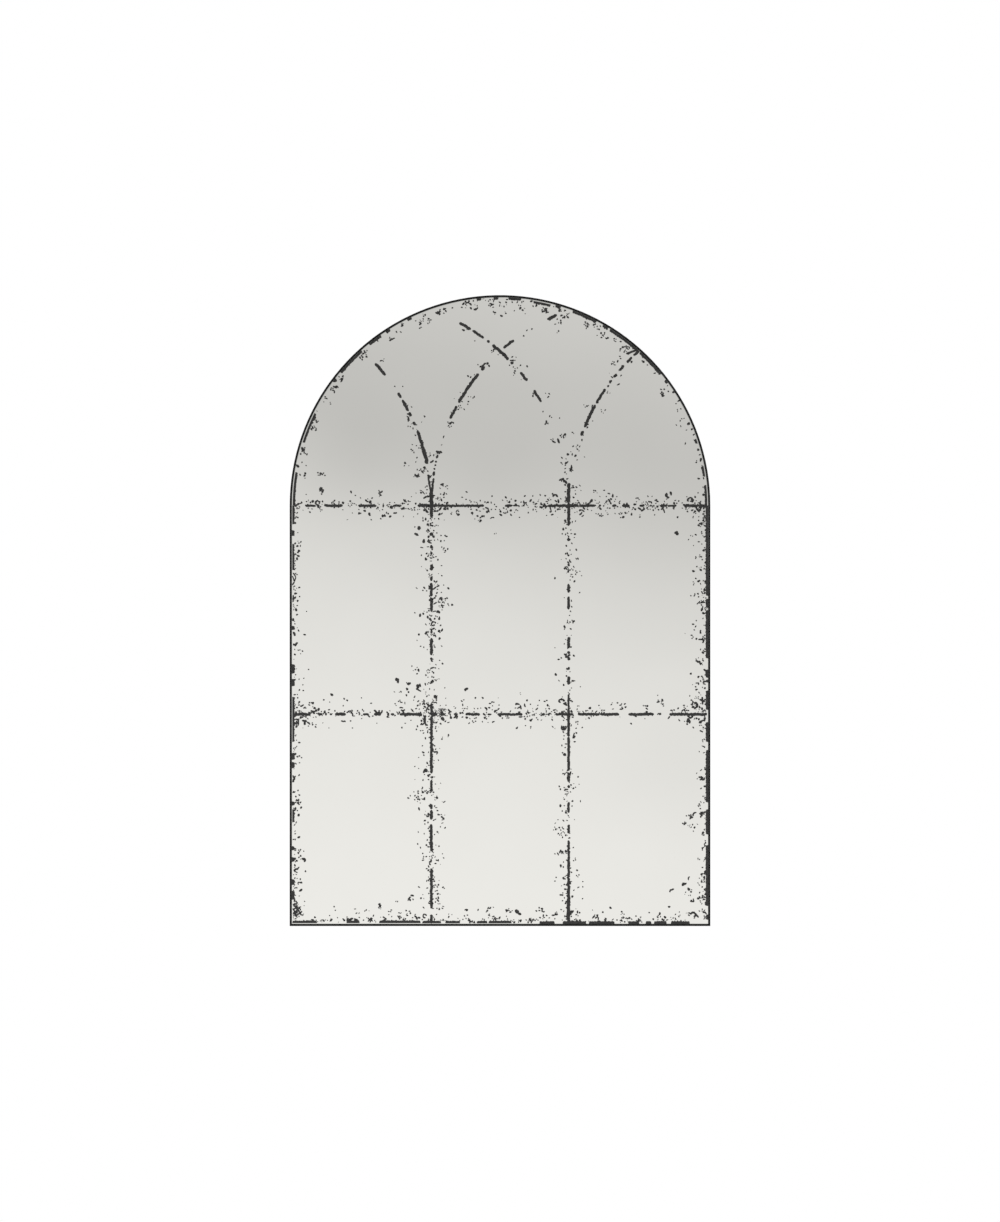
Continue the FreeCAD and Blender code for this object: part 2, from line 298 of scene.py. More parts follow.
@dataclass(frozen=True)
class SilveredGlass(Finish):
    """Mirror glass: silvered face with patches of painted darker reflection, a bevel greyed by grinding and
    darkened with painted shade, green edge and painted back, told apart by depth.
    """

    silver: Colour = (0.868, 0.860, 0.820, 1.0)
    cloud: Colour = (0.846, 0.838, 0.798, 1.0)
    # The tone of the darker patches: a painted reflection of a dimmer surround, laid into the silver's
    # colour.
    painted_dim_reflection: Colour = (0.694, 0.688, 0.656, 1.0)
    # The bevel's own grey from grinding, darkened to paint the shade that the frame's lip casts on it.
    bevel_grey_and_shade: Colour = (0.24, 0.25, 0.237, 1.0)
    edge: Colour = (0.16, 0.30, 0.25, 1.0)
    paint: Colour = (0.10, 0.10, 0.105, 1.0)
    face_depth: float = -0.02399
    bevel_depth: float = -0.0234
    back_depth: float = -0.0201
    clouds: Grain = Grain(210 * MM, 3.0)
    cloud_span: Range = (0.35, 0.7)
    cloud_share: float = 0.5
    haze: Grain = Grain(24 * MM, 4.0)
    haze_span: Range = (0.45, 0.8)
    # Middle, height, reach and depth of each patch of painted darker reflection.
    painted_dim_reflection_places: Spans = (
        (-330, 1010, 190, 0.10), (-262, 893, 210, 0.36), (-40, 852, 190, 0.25), (350, 300, 240, 0.20),
    )
    squat: float = 1.3
    roughness: float = 0.012
    haze_rough: float = 0.02
    ground_rough: float = 0.45
    edge_smooth: float = 0.3
    back_rough: float = 0.35

    def painted_dim_reflection_share(self, graph: Graph, x: Sock, z: Sock) -> Sock:
        """How much painted darker reflection the silver has: the sum of a few soft patches.

        Args:
            graph: the material's nodes.
            x: how far to the right a place is.
            z: how high it is.

        Returns:
            The share of painted darker reflection.
        """
        share = 0.0
        for middle, height, reach, most in self.painted_dim_reflection_places:
            away = graph.hypot(x - middle * MM, self.squat * (z - height * MM))
            share = share + graph.spread(away, (0.0, reach * MM), (most, 0.0))
        return share

    def surface(self, graph: Graph) -> dict[str, Value]:
        """Slow clouds in the silver, patches of painted darker reflection, a little haze, the bevel darkened
        with painted shade, and the plain edge and back.

        Args:
            graph: the material's nodes.

        Returns:
            Values or links by socket name.
        """
        place = graph.place()
        x, depth, z = graph.axes(place)
        behind = depth > self.face_depth
        side = depth > self.bevel_depth
        back = depth > self.back_depth
        clouds = graph.spread(graph.noise(place, self.clouds), self.cloud_span)
        haze = graph.spread(graph.noise(place, self.haze), self.haze_span)
        clean = graph.mix(self.cloud_share * clouds, self.silver, self.cloud)
        # The silver's colour here carries the patches of painted darker reflection.
        silver = graph.mix(self.painted_dim_reflection_share(graph, x, z), clean, self.painted_dim_reflection)
        # The bevel takes the darkened grey, which carries its painted shade.
        body = graph.mix(side, self.bevel_grey_and_shade, graph.mix(back, self.edge, self.paint))
        rough = self.roughness + self.haze_rough * haze + self.ground_rough * behind
        return {
            "Base Color": graph.mix(behind, silver, body),
            "Metallic": 1.0 - behind,
            "Roughness": rough - self.edge_smooth * side + self.back_rough * back,
        }


@dataclass(frozen=True)
class SilverStain(Finish):
    """Where the silvering has gone: charcoal backing paint seen through the glass."""

    dark: Colour = (0.0125, 0.0120, 0.0112, 1.0)
    worn: Colour = (0.030, 0.0292, 0.0280, 1.0)
    mottle: Grain = Grain(5 * MM, 3.0)
    mottle_span: Range = (0.4, 0.75)
    roughness: float = 0.10
    mottle_rough: float = 0.10
    specular: float = 0.4

    def surface(self, graph: Graph) -> dict[str, Value]:
        """A charcoal that mottles slightly under clear glass.

        Args:
            graph: the material's nodes.

        Returns:
            Values or links by socket name.
        """
        mottle = graph.spread(graph.noise(graph.place(), self.mottle), self.mottle_span)
        return {
            "Base Color": graph.mix(mottle, self.dark, self.worn),
            "Roughness": self.roughness + self.mottle_rough * mottle,
            "Specular IOR Level": self.specular,
        }


@dataclass(frozen=True)
class Fibreboard(Finish):
    """Raw fibreboard: a felt of fine fibres with a few darker flecks."""

    dark: Colour = (0.300, 0.198, 0.112, 1.0)
    light: Colour = (0.392, 0.272, 0.162, 1.0)
    fleck: Colour = (0.170, 0.104, 0.056, 1.0)
    fibre: Grain = Grain(2.6 * MM, 5.0, 0.62, 2.4)
    dust: Grain = Grain(0.5 * MM)
    cloud: Grain = Grain(90 * MM)
    tone_shares: Point = (0.62, 0.24, 0.14)
    tone_span: Range = (0.36, 0.64)
    flecks: Grain = Grain(2.4 * MM, 3.0, 0.7)
    fleck_stretch: Point = (1.0, 1.0, 0.55)
    fleck_span: Range = (0.68, 0.75)
    fleck_most: float = 0.75
    roughness: float = 0.88
    fibre_smooth: float = 0.1
    specular: float = 0.25
    relief_shares: Range = (0.6, 0.4)
    depth: float = 0.1 * MM
    strength: float = 0.6

    def surface(self, graph: Graph) -> dict[str, Value]:
        """Fibres curl every way, flecks are few, and the tone hardly drifts over the sheet.

        Args:
            graph: the material's nodes.

        Returns:
            Values or links by socket name.
        """
        place = graph.place()
        fibres = graph.noise(place, self.fibre)
        dust = graph.noise(place, self.dust)
        clouds = graph.noise(place, self.cloud)
        of_fibres, of_dust, of_clouds = self.tone_shares
        tone = graph.spread(of_fibres * fibres + of_dust * dust + of_clouds * clouds, self.tone_span)
        flecks = graph.noise(graph.place(self.fleck_stretch), self.flecks)
        flecks = graph.spread(flecks, self.fleck_span, (0.0, self.fleck_most))
        relief = self.relief_shares[0] * fibres + self.relief_shares[1] * dust
        return {
            "Base Color": graph.mix(flecks, graph.mix(tone, self.dark, self.light), self.fleck),
            "Roughness": self.roughness - self.fibre_smooth * fibres,
            "Specular IOR Level": self.specular,
            "Normal": graph.bump(relief, self.depth, self.strength),
        }


@dataclass(frozen=True)
class SoftPlastic(Finish):
    """Rubber or foam: matte, with a fine skin."""

    tone: Colour
    dusty: Colour
    grain: float
    roughness: float
    bloom_grains: float = 14
    bloom_span: Range = (0.4, 0.75)
    bloom_rough: float = 0.12
    specular: float = 0.35
    depth: float = 0.04 * MM

    def surface(self, graph: Graph) -> dict[str, Value]:
        """A fine grain, and a bloom of dust in slow patches.

        Args:
            graph: the material's nodes.

        Returns:
            Values or links by socket name.
        """
        place = graph.place()
        grain = graph.noise(place, Grain(self.grain))
        bloom = graph.noise(place, Grain(self.bloom_grains * self.grain, 3.0))
        bloom = graph.spread(bloom, self.bloom_span)
        return {
            "Base Color": graph.mix(bloom, self.tone, self.dusty),
            "Roughness": self.roughness + self.bloom_rough * bloom,
            "Specular IOR Level": self.specular,
            "Normal": graph.bump(grain, self.depth),
        }


@dataclass(frozen=True)
class PlatedSteel(Finish):
    """Plated steel: tumbled, with drifts of tone and fine rub marks."""

    bright: Colour
    dull: Colour
    roughness: float
    patch: Grain = Grain(5 * MM, 4.0, 0.6)
    patch_span: Range = (0.35, 0.7)
    rub: Grain = Grain(0.25 * MM)
    rub_stretch: Point = (1.0, 1.0, 0.08)
    patch_rough: float = 0.18
    rub_rough: float = 0.08
    depth: float = 0.006 * MM

    def surface(self, graph: Graph) -> dict[str, Value]:
        """Tone and gloss drift together, and rub marks run across the piece.

        Args:
            graph: the material's nodes.

        Returns:
            Values or links by socket name.
        """
        drift = graph.noise(graph.place(), self.patch)
        rubs = graph.noise(graph.place(self.rub_stretch), self.rub)
        return {
            "Base Color": graph.mix(graph.spread(drift, self.patch_span), self.bright, self.dull),
            "Metallic": 1.0,
            "Roughness": self.roughness + self.patch_rough * drift + self.rub_rough * rubs,
            "Normal": graph.bump(rubs, self.depth),
        }


@dataclass(frozen=True)
class PaleFloor(Finish):
    """A matte floor that fades to nothing towards its rim, where the white behind it takes over."""

    dark: Colour = grey(0.90)
    light: Colour = grey(0.93)
    drift: Grain = Grain(0.3, 3.0)
    roughness: float = 0.8
    solid: float = 0.75
    reach: float = 1.4

    def surface(self, graph: Graph) -> dict[str, Value]:
        """A tone that hardly drifts."""
        drift = graph.noise(graph.place(), self.drift)
        return {"Base Color": graph.mix(drift, self.dark, self.light), "Roughness": self.roughness}

    def shader(self, graph: Graph) -> Sock:
        """The paint, mixed with clear by how far out a place lies.

        Args:
            graph: the material's nodes.

        Returns:
            The mixed shader.
        """
        x, y, _ = graph.axes(graph.place())
        fade = graph.spread(graph.hypot(x, y), (self.solid, self.reach))
        clear = graph.node("ShaderNodeBsdfTransparent", {}, {})
        return graph.node("ShaderNodeMixShader", {}, {0: fade, 1: super().shader(graph), 2: clear})


def show(name: str, data: bpy.types.ID) -> bpy.types.Object:
    """A new object in the scene.

    Args:
        name: its name.
        data: its mesh, lamp or camera.

    Returns:
        The object.
    """
    piece = bpy.data.objects.new(name, data)
    bpy.context.scene.collection.objects.link(piece)
    return piece


def shape(name: str, points: Array, faces: list[list[int]], finish: Finish) -> bpy.types.Object:
    """A new mesh object with one finish.

    Args:
        name: its name.
        points: its points, in metres.
        faces: its faces, facing outwards.
        finish: its surface.

    Returns:
        The object.
    """
    mesh = bpy.data.meshes.new(name)
    mesh.from_pydata(points.tolist(), [], faces)
    mesh.materials.append(finish.make())
    mesh.validate()
    return show(name, mesh)


def mount(piece: bpy.types.Object) -> None:
    """Puts a new piece on the mirror's body.

    Args:
        piece: the piece.
    """
    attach(piece, Body.MIRROR.value)
    LOG.info("%s: %d points, %d faces", piece.name, len(piece.data.vertices), len(piece.data.polygons))


def rounded(near: Array, least: float) -> Array:
    """The share of the full width close to a rounded end: the height of a quarter circle.

    It is the root of one less the square of one less near.

    Args:
        near: the distance from the end, as a share of the rounding's reach.
        least: the square of the share at the very end.

    Returns:
        The share at each place.
    """
    return np.sqrt(np.clip(1.0 - (1.0 - np.clip(near, 0.0, 1.0)) ** 2, least, 1.0))


@dataclass(frozen=True)
class GlassFace:
    """The front of the glass, which every mark follows. Sizes come from the glass itself."""

    half: float
    foot: float
    spring: float
    front: float
    frame_half: float = 400 * MM
    bevel_width: float = 1.0 * MM
    bevel_drop: float = 0.5 * MM

    @classmethod
    def of_frame(cls) -> "GlassFace":
        """The face of the frame's own sheet of glass."""
        low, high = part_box("mirror_glass")
        return cls(high.x, low.z, high.z - high.x, low.y)

    @property
    def crease(self) -> float:
        """How far in from the frame's outer edge the bevel ends."""
        return self.frame_half - self.half + self.bevel_width

    def inset(self, x: Array, z: Array) -> Array:
        """How far in from the glass edge a place is.

        Below the springing it is the lesser of the distances to the side and to the foot. Above it is
        the half width less the distance from the arch's centre.

        Args:
            x: how far to the right each place is.
            z: how high it is.

        Returns:
            The inset at each place.
        """
        straight = np.minimum(self.half - np.abs(x), z - self.foot)
        arched = self.half - np.hypot(x, z - self.spring)
        return np.where(z > self.spring, arched, straight)

    def depth(self, x: Array, z: Array) -> Array:
        """The face's depth, which drops evenly over the bevel."""
        sunk = np.clip(1.0 - self.inset(x, z) / self.bevel_width, 0.0, 1.0)
        return self.front + self.bevel_drop * sunk


@dataclass(frozen=True)
class Track:
    """A line on the glass.

    place turns how far along and how far across into points, and unit is the length in metres of one
    step along.
    """

    unit: float
    place: Callable[[Array, Array], Array]


def level(z: float) -> Track:
    """A level line. Along is x in millimetres."""
    return Track(MM, lambda along, across: np.stack([along * MM, z * MM + across], -1))


def plumb(x: float) -> Track:
    """An upright line. Along is z in millimetres."""
    return Track(MM, lambda along, across: np.stack([x * MM + across, along * MM], -1))


def bow(centre: float, spring: float, radius: float, side: int) -> Track:
    """An arc over the springing line. Along is in degrees up from the side's end of that line.

    A point is the centre plus the radius, widened by across, times the cosine and sine.

    Args:
        centre: the arc's centre on the springing line.
        spring: the line's height.
        radius: the arc's radius.
        side: 1 where it starts on the right of its centre, -1 where it starts on the left.

    Returns:
        The line.
    """
    def place(along: Array, across: Array) -> Array:
        """Points on the arc."""
        turn, reach = np.radians(along), radius * MM + across
        return np.stack([centre * MM + side * reach * np.cos(turn), spring * MM + reach * np.sin(turn)], -1)
    return Track(math.radians(radius) * MM, place)


def stroke(x0: float, z0: float, x1: float, z1: float) -> Track:
    """A straight stroke between two places. Along runs from 0 to 1.

    A point is the start plus along times the run, and across to the left of it.

    Args:
        x0: where it starts, from the middle.
        z0: where it starts, from the foot.
        x1: where it ends, from the middle.
        z1: where it ends, from the foot.

    Returns:
        The line.
    """
    start = np.array([x0, z0]) * MM
    run = np.array([x1, z1]) * MM - start
    length = float(np.hypot(*run))
    across_way = np.array([-run[1], run[0]]) / length
    return Track(length, lambda along, across: start + along[:, None] * run + across[:, None] * across_way)


def facing(track: Track, way: int) -> Track:
    """A line whose across is counted the other way where way is -1."""
    return Track(track.unit, lambda along, across: track.place(along, way * across))


@dataclass
class Flakes:
    """Thin flakes lying on the glass, gathered into one mesh.

    The lengths that stand without MM are millimetres or shares.
    """

    face: GlassFace
    seed: int
    lift: Range = (0.03 * MM, 0.08 * MM)
    bevel_lift: float = 0.1 * MM
    sink: float = 0.03 * MM
    station: float = 0.8 * MM
    bump_heights: Range = (0.25, 1.0)
    bump_widths: Range = (0.5, 1.2)
    dash_stations: int = 6
    dash_tip: Range = (1.0, 1.8)
    dash_end: float = 0.06
    dash_drift: float = 0.16
    dash_drift_hold: float = 4.0
    dash_ragged: float = 0.13
    dash_ragged_hold: float = 1.7
    dash_widths: Range = (0.4, 1.8)
    dash_bump_gap: float = 11 * MM
    dash_bump: float = 0.6
    band_stations: int = 5
    band_tip: float = 1.6 * MM
    band_end: float = 0.1
    band_ragged: float = 0.35 * MM
    band_ragged_hold: float = 1.8
    band_bump_gap: float = 9 * MM
    band_bump: float = 1.4 * MM
    band_least: float = 1.2 * MM
    lobes: Spans = ((2, 0.16), (3, 0.14), (5, 0.08))
    lobe_shares: Range = (0.2, 1.0)
    speck_radius: float = 1.5 * MM
    speck_scatter: float = 0.30
    speck_limits: Range = (0.6 * MM, 2.6 * MM)
    speck_room: float = 1.6
    speck_stretch: float = 0.55
    speck_corners: int = 12

    def __post_init__(self) -> None:
        """Starts the random draws and an empty sheet."""
        self.random = np.random.default_rng(self.seed)
        self.points: list[Array] = []
        self.faces: list[list[int]] = []
        self.used = 0

    def _lay(self, flat: Array, lift: Union[Array, float]) -> Array:
        """Places on the glass as points, lift in front of it and a little more over the bevel.

        Args:
            flat: x and z of each place.
            lift: how far in front of the glass each lies.

        Returns:
            The points.
        """
        x, z = flat[..., 0], flat[..., 1]
        sunk = self.face.depth(x, z) - self.face.front
        more = np.where(sunk > 0, self.bevel_lift, 0.0)
        return np.stack([x, self.face.front + sunk - lift - more, z], -1)

    def _keep(self, points: Array, faces: Array) -> None:
        """Adds points and the faces between them.

        Args:
            points: the points, in rings or flakes.
            faces: the faces, counted from the first of these points.
        """
        self.points.append(points.reshape(-1, 3))
        self.faces += (faces + self.used).tolist()
        self.used += points.size // 3

    def strip(self, left: Array, right: Array) -> None:
        """A flake between two edge lines, closed at both ends.

        Each station has four corners, front and back of either edge, and quads join them to the next
        station's. The edges change places if their order would turn the flake's front to the wall.

        Args:
            left: x and z of one edge, station by station.
            right: the same for the other edge.
        """
        run = np.diff((left + right) / 2, axis=0)
        width = (left - right)[:-1]
        if np.sum(run[:, 0] * width[:, 1] - run[:, 1] * width[:, 0]) < 0:
            left, right = right, left
        lift = self.random.uniform(*self.lift)
        edges = ((left, lift), (left, -self.sink), (right, -self.sink), (right, lift))
        ring = np.stack([self._lay(edge, height) for edge, height in edges], 1)
        count = len(ring)
        station = 4 * np.arange(count - 1)[:, None]
        corner = np.arange(4)[None, :]
        after = (corner + 1) % 4
        quads = np.stack([station + corner, station + 4 + corner, station + 4 + after, station + after], -1)
        caps = np.stack([corner[0], 4 * count - 1 - corner[0]])
        self._keep(ring, np.concatenate([quads.reshape(-1, 4), caps]))

    def patches(self, outlines: Array) -> None:
        """Flakes with closed outlines.

        Args:
            outlines: flake by corner by x and z, the corners running anticlockwise from the front.
        """
        flakes, corners = outlines.shape[:2]
        lift = self.random.uniform(*self.lift, (flakes, 1))
        both = np.stack([self._lay(outlines, lift), self._lay(outlines, -self.sink)], 1)
        base = (2 * corners * np.arange(flakes))[:, None]
        order = np.arange(corners)
        after = (order + 1) % corners
        used = self.used
        sides = np.stack([order, corners + order, corners + after, after], -1)
        self._keep(both, (base[:, :, None] + sides[None]).reshape(-1, 4))
        self.faces += (used + base + order).tolist()
        self.faces += (used + base + corners + order[::-1]).tolist()

    def stations(self, length: float, least: int) -> Array:
        """Shares of a length, a station apart, and at least so many."""
        return np.linspace(0.0, 1.0, max(least, int(length / self.station)))

    def wander(self, count: int, hold: float) -> Array:
        """Random values that drift, holding for about hold stations."""
        knots = self.random.normal(size=int(count / hold) + 3)
        return np.interp(np.arange(count) / hold, np.arange(len(knots)), knots)

    def bumps(self, distance: Array, gap: float, height: float) -> Array:
        """Rounded bumps along an edge: a sum of bell curves at random places.

        Args:
            distance: how far along each station is.
            gap: the mean distance between bumps.
            height: the tallest bump.

        Returns:
            The added width at each station.
        """
        count = self.random.poisson(distance[-1] / gap)
        middles = self.random.uniform(0.0, distance[-1], count)
        tall = height * self.random.uniform(*self.bump_heights, count)
        wide = self.random.uniform(*self.bump_widths, count) * MM
        return np.sum(tall * np.exp(-(((distance[:, None] - middles) / wide) ** 2)), 1)

    def dash(self, track: Track, start: float, end: float, half: float, rough: float = 0.75) -> None:
        """A dash with wandering edges and rounded ends.

        An edge lies off the line by the drift, plus or minus the taper of the ends times the ragged
        half width.

        Args:
            track: the line that it lies on.
            start: where it starts along the line.
            end: where it ends.
            half: half its width, in metres.
            rough: how ragged it is.
        """
        length = abs(end - start) * track.unit
        share = self.stations(length, self.dash_stations)
        count = len(share)
        distance = share * length
        tip = min(length / 2, half * self.random.uniform(*self.dash_tip))
        taper = rounded(np.minimum(distance, length - distance) / tip, self.dash_end)
        drift = self.dash_drift * half * rough * self.wander(count, self.dash_drift_hold)
        edges = []
        for side in (1.0, -1.0):
            ragged = 1.0 + self.dash_ragged * rough * self.wander(count, self.dash_ragged_hold)
            bumps = self.bumps(distance, self.dash_bump_gap / rough, self.dash_bump * half * rough)
            width = half * np.clip(ragged, *self.dash_widths) + bumps
            edges.append(track.place(start + (end - start) * share, drift + side * taper * width))
        self.strip(*edges)

    def band(self, track: Track, start: float, end: float, outer: float, inner: float) -> None:
        """A band along the glass edge: straight outside and ragged inside.

        The inner edge's inset is the outer one's plus the taper of the ends times the ragged width.
        Where it reaches over the bevel, the bevel's part is a flake of its own, so that each lies flat.

        Args:
            track: the edge. Across is the inset.
            start: where the band starts along it.
            end: where it ends.
            outer: the inset of its outer edge.
            inner: the mean inset of its inner edge.
        """
        length = abs(end - start) * track.unit
        share = self.stations(length, self.band_stations)
        count = len(share)
        along = start + (end - start) * share
        taper = rounded(np.minimum(share, 1.0 - share) * length / self.band_tip, self.band_end)
        crease = self.face.crease
        flat = max(outer, crease)
        ragged = self.band_ragged * self.wander(count, self.band_ragged_hold)
        ragged = ragged + self.bumps(share * length, self.band_bump_gap, self.band_bump)
        reach = flat + taper * np.clip(inner - flat + ragged, self.band_least, None)
        self.strip(track.place(along, np.full(count, flat)), track.place(along, reach))
        if outer < crease:
            sides = [track.place(along, np.full(count, inset)) for inset in (outer, crease)]
            self.strip(*sides)

    def blots(self, middles: Array, radii: Array, stretch: Array, corners: int) -> None:
        """Lobed blots.

        A corner is the middle plus the radius times one, plus a little of the second, third and fifth
        harmonics, drawn out along a random direction.

        Args:
            middles: flake by x and z.
            radii: each flake's mean radius.
            stretch: how much longer than wide each flake is.
            corners: corners in each outline.
        """
        count = len(middles)
        turn = np.arange(corners) * 2 * np.pi / corners
        reach = np.ones((count, corners))
        for harmonic, most in self.lobes:
            size = most * self.random.uniform(*self.lobe_shares, (count, 1))
            phase = self.random.uniform(0.0, 2 * np.pi, (count, 1))
            reach += size * np.cos(harmonic * turn + phase)
        lean = self.random.uniform(0.0, np.pi, (count, 1))
        long = radii[:, None] * np.sqrt(stretch)[:, None] * reach * np.cos(turn)
        short = radii[:, None] / np.sqrt(stretch)[:, None] * reach * np.sin(turn)
        x = middles[:, :1] + long * np.cos(lean) - short * np.sin(lean)
        z = middles[:, 1:] + long * np.sin(lean) + short * np.cos(lean)
        self.patches(np.stack([x, z], -1))

    def specks(self, middles: Array) -> None:
        """Small specks. Those that would cross the bevel's edge are left out.

        Args:
            middles: speck by x and z.
        """
        sizes = self.speck_radius * np.exp(self.speck_scatter * self.random.normal(size=len(middles)))
        radii = np.clip(sizes, *self.speck_limits)
        inset = self.face.inset(middles[:, 0], middles[:, 1])
        inside = inset - self.face.bevel_width - self.speck_room * radii > 0
        middles, radii = middles[inside], radii[inside]
        stretch = 1.0 + np.abs(self.random.normal(size=len(radii))) * self.speck_stretch
        self.blots(middles, radii, stretch, self.speck_corners)


@dataclass
class Marks:
    """Marks in the silvering that are one piece. Each kind says what it lays."""

    name: str
    seed: int

    def lay(self, flakes: Flakes) -> None:
        """Lays the marks on the glass.

        Args:
            flakes: what gathers them.
        """
        raise NotImplementedError

    def build(self, face: GlassFace, finish: Finish) -> None:
        """Makes the piece.

        Args:
            face: the glass.
            finish: the marks' finish.
        """
        flakes = Flakes(face, self.seed)
        self.lay(flakes)
        mount(shape(self.name, np.concatenate(flakes.points), flakes.faces, finish))


@dataclass
class TraceryLines(Marks):
    """Broken dark lines that draw a traceried window: two bars, two mullions and four crossing arcs.

    A dash is its start, its end and half its width, which is half_width where none is given.
    """

    name: str = "tracery_lines"
    seed: int = 11
    half_width: float = 1.75
    spread: float = 0.52
    arc_spread: float = 0.80
    arc_grow: float = 0.15
    bars: int = 4
    spring: float = 799.5
    transom: float = 402.7
    mullion: float = 130.5
    arc_radius: float = 394.0
    outer_centre: float = 524.6
    inner_centre: float = 263.7
    right_inner_wider: float = 0.5
    left_inner_wider: float = 0.7
    right_outer_tighter: float = 0.9
    spring_dashes: Spans = (
        (-392, -386, 1.6), (-370, -351), (-349, -343, 2.4), (-333, -299, 2.1), (-270, -235, 2.0),
        (-204, -189), (-157, -118, 2.2), (-118, -30, 1.8), (9, 24, 1.8), (24, 37, 0.8), (43, 47, 1.4),
        (81, 87, 2.3), (91, 150, 2.1), (150, 183, 1.9), (213, 222, 1.8), (232, 247, 2.3), (265, 275, 1.8),
        (285, 289, 1.3), (304, 318, 2.1), (318, 336, 1.5), (350, 394, 2.0),
    )
    transom_dashes: Spans = (
        (-392, -360, 2.3), (-346, -338, 2.0), (-333, -329, 2.0), (-324, -319, 1.6), (-314, -293, 2.3),
        (-261, -249, 1.7), (-240, -226, 2.4), (-208, -201, 1.7), (-191, -148, 2.2), (-133, -119, 2.6),
        (-114, -105, 2.6), (-88, -80, 1.8), (-66, -38, 2.0), (-24, -16, 1.3), (-5, 43, 2.0), (79, 86, 2.0),
        (90, 95, 1.5), (105, 140, 2.0), (148, 190, 2.2), (190, 227, 2.1), (244, 293, 2.2), (302, 307, 1.8),
        (322, 394, 2.2),
    )
    left_dashes: Spans = (
        (798, 831, 3.0), (777, 800, 2.5), (742, 749, 3.0), (718, 725, 2.0), (706, 712, 1.8),
        (676, 688, 2.6), (656, 665, 2.3), (627, 653, 2.2), (598, 624, 2.4), (556, 566, 1.5),
        (515, 548, 2.3), (505, 511, 1.9), (404, 424, 2.2), (350, 399, 2.2), (290, 352, 2.3),
        (256, 278, 1.9), (222, 232, 1.9), (202, 221, 2.3), (142, 194, 2.2), (34, 109, 2.2), (4.6, 22, 2.0),
    )
    right_dashes: Spans = (
        (806, 843, 2.7), (761, 806, 2.3), (732, 738, 2.8), (703, 707, 1.8), (684, 689, 1.8),
        (675, 679, 1.5), (634, 651, 2.1), (602, 627, 2.1), (528, 550, 2.3), (517, 523, 2.3),
        (505, 513, 1.9), (487, 493, 1.9), (459, 475, 2.4), (411, 441, 1.3), (360, 413, 2.1),
        (295, 360, 2.1), (274, 286, 2.4), (262, 268, 2.2), (215, 236, 1.9), (176, 193, 1.9), (92, 163, 1.9),
        (55, 92, 2.1), (4.6, 60, 2.8),
    )
    far_left_dashes: Spans = (
        (39.1, 43.2, 2.1), (31.5, 32.9, 2.0), (27.3, 30.6, 2.0), (25.7, 26.7, 2.0), (23.0, 23.8, 2.2),
        (15.4, 21.2, 2.1), (11.8, 16.0, 3.0),
    )
    near_right_dashes: Spans = (
        (13.3, 14.0, 1.7), (14.6, 15.2, 1.5), (10.1, 10.35, 1.1), (11.15, 11.4, 1.1), (12.1, 12.4, 1.3),
        (24.9, 28.6, 2.0), (29.9, 39.4, 2.1), (40.9, 42.0, 2.6), (43.0, 43.5, 1.5), (49.5, 52.9, 1.7),
        (64.0, 66.7, 2.2),
    )
    near_left_dashes: Spans = (
        (58.3, 61.7, 2.1), (54.0, 57.5, 1.7), (52.0, 52.6, 1.9), (47.8, 50.7, 2.2), (44.9, 48.2, 2.2),
        (43.2, 43.8, 1.7), (37.1, 39.9, 1.9), (30.1, 33.7, 1.7), (17.6, 18.8, 1.2),
    )
    far_right_dashes: Spans = (
        (19.9, 21.1, 2.2), (22.4, 29.1, 2.1), (29.8, 34.3, 1.7), (36.5, 37.3, 1.5), (38.5, 39.5, 2.0),
        (41.0, 42.6, 1.9), (44.0, 45.8, 1.8), (46.7, 48.6, 2.0),
    )
    trunk_strokes: Spans = (
        (-137, 859, -131.5, 826, 1.7), (-125, 865, -126.5, 856, 2.2), (-126.2, 852, -129.5, 826, 1.8),
        (-135, 844.5, -128, 845, 0.8), (-133, 881, -126, 886, 1.4), (112, 847, 122, 852, 1.3),
        (118, 851, 128, 841, 1.7),
    )

    def tracks(self) -> list[tuple[Track, Spans]]:
        """Every line with its dashes, the straight bars first.

        Returns:
            Pairs of a line and its dashes.
        """
        far, near, rise, radius = self.outer_centre, self.inner_centre, self.spring, self.arc_radius
        return [
            (level(self.spring), self.spring_dashes),
            (level(self.transom), self.transom_dashes),
            (plumb(-self.mullion), self.left_dashes),
            (plumb(self.mullion), self.right_dashes),
            (bow(-far, rise, radius, 1), self.far_left_dashes),
            (bow(near, rise, radius + self.right_inner_wider, -1), self.near_right_dashes),
            (bow(-near, rise, radius + self.left_inner_wider, 1), self.near_left_dashes),
            (bow(far, rise, radius - self.right_outer_tighter, -1), self.far_right_dashes),
        ]

    def lay(self, flakes: Flakes) -> None:
        """Lays the dashes, line by line, and then the strokes where the arcs leave the mullions.

        Args:
            flakes: what gathers them.
        """
        for index, (track, dashes) in enumerate(self.tracks()):
            spread, grow = (self.spread, 0.0) if index < self.bars else (self.arc_spread, self.arc_grow)
            for start, end, *half in dashes:
                wide = (half[0] if half else self.half_width) + spread
                longer = math.copysign(grow, end - start)
                flakes.dash(track, start - longer, end + longer, wide * MM)
        for *ends, half in self.trunk_strokes:
            flakes.dash(stroke(*ends), 0.0, 1.0, (half + self.spread / 2) * MM)


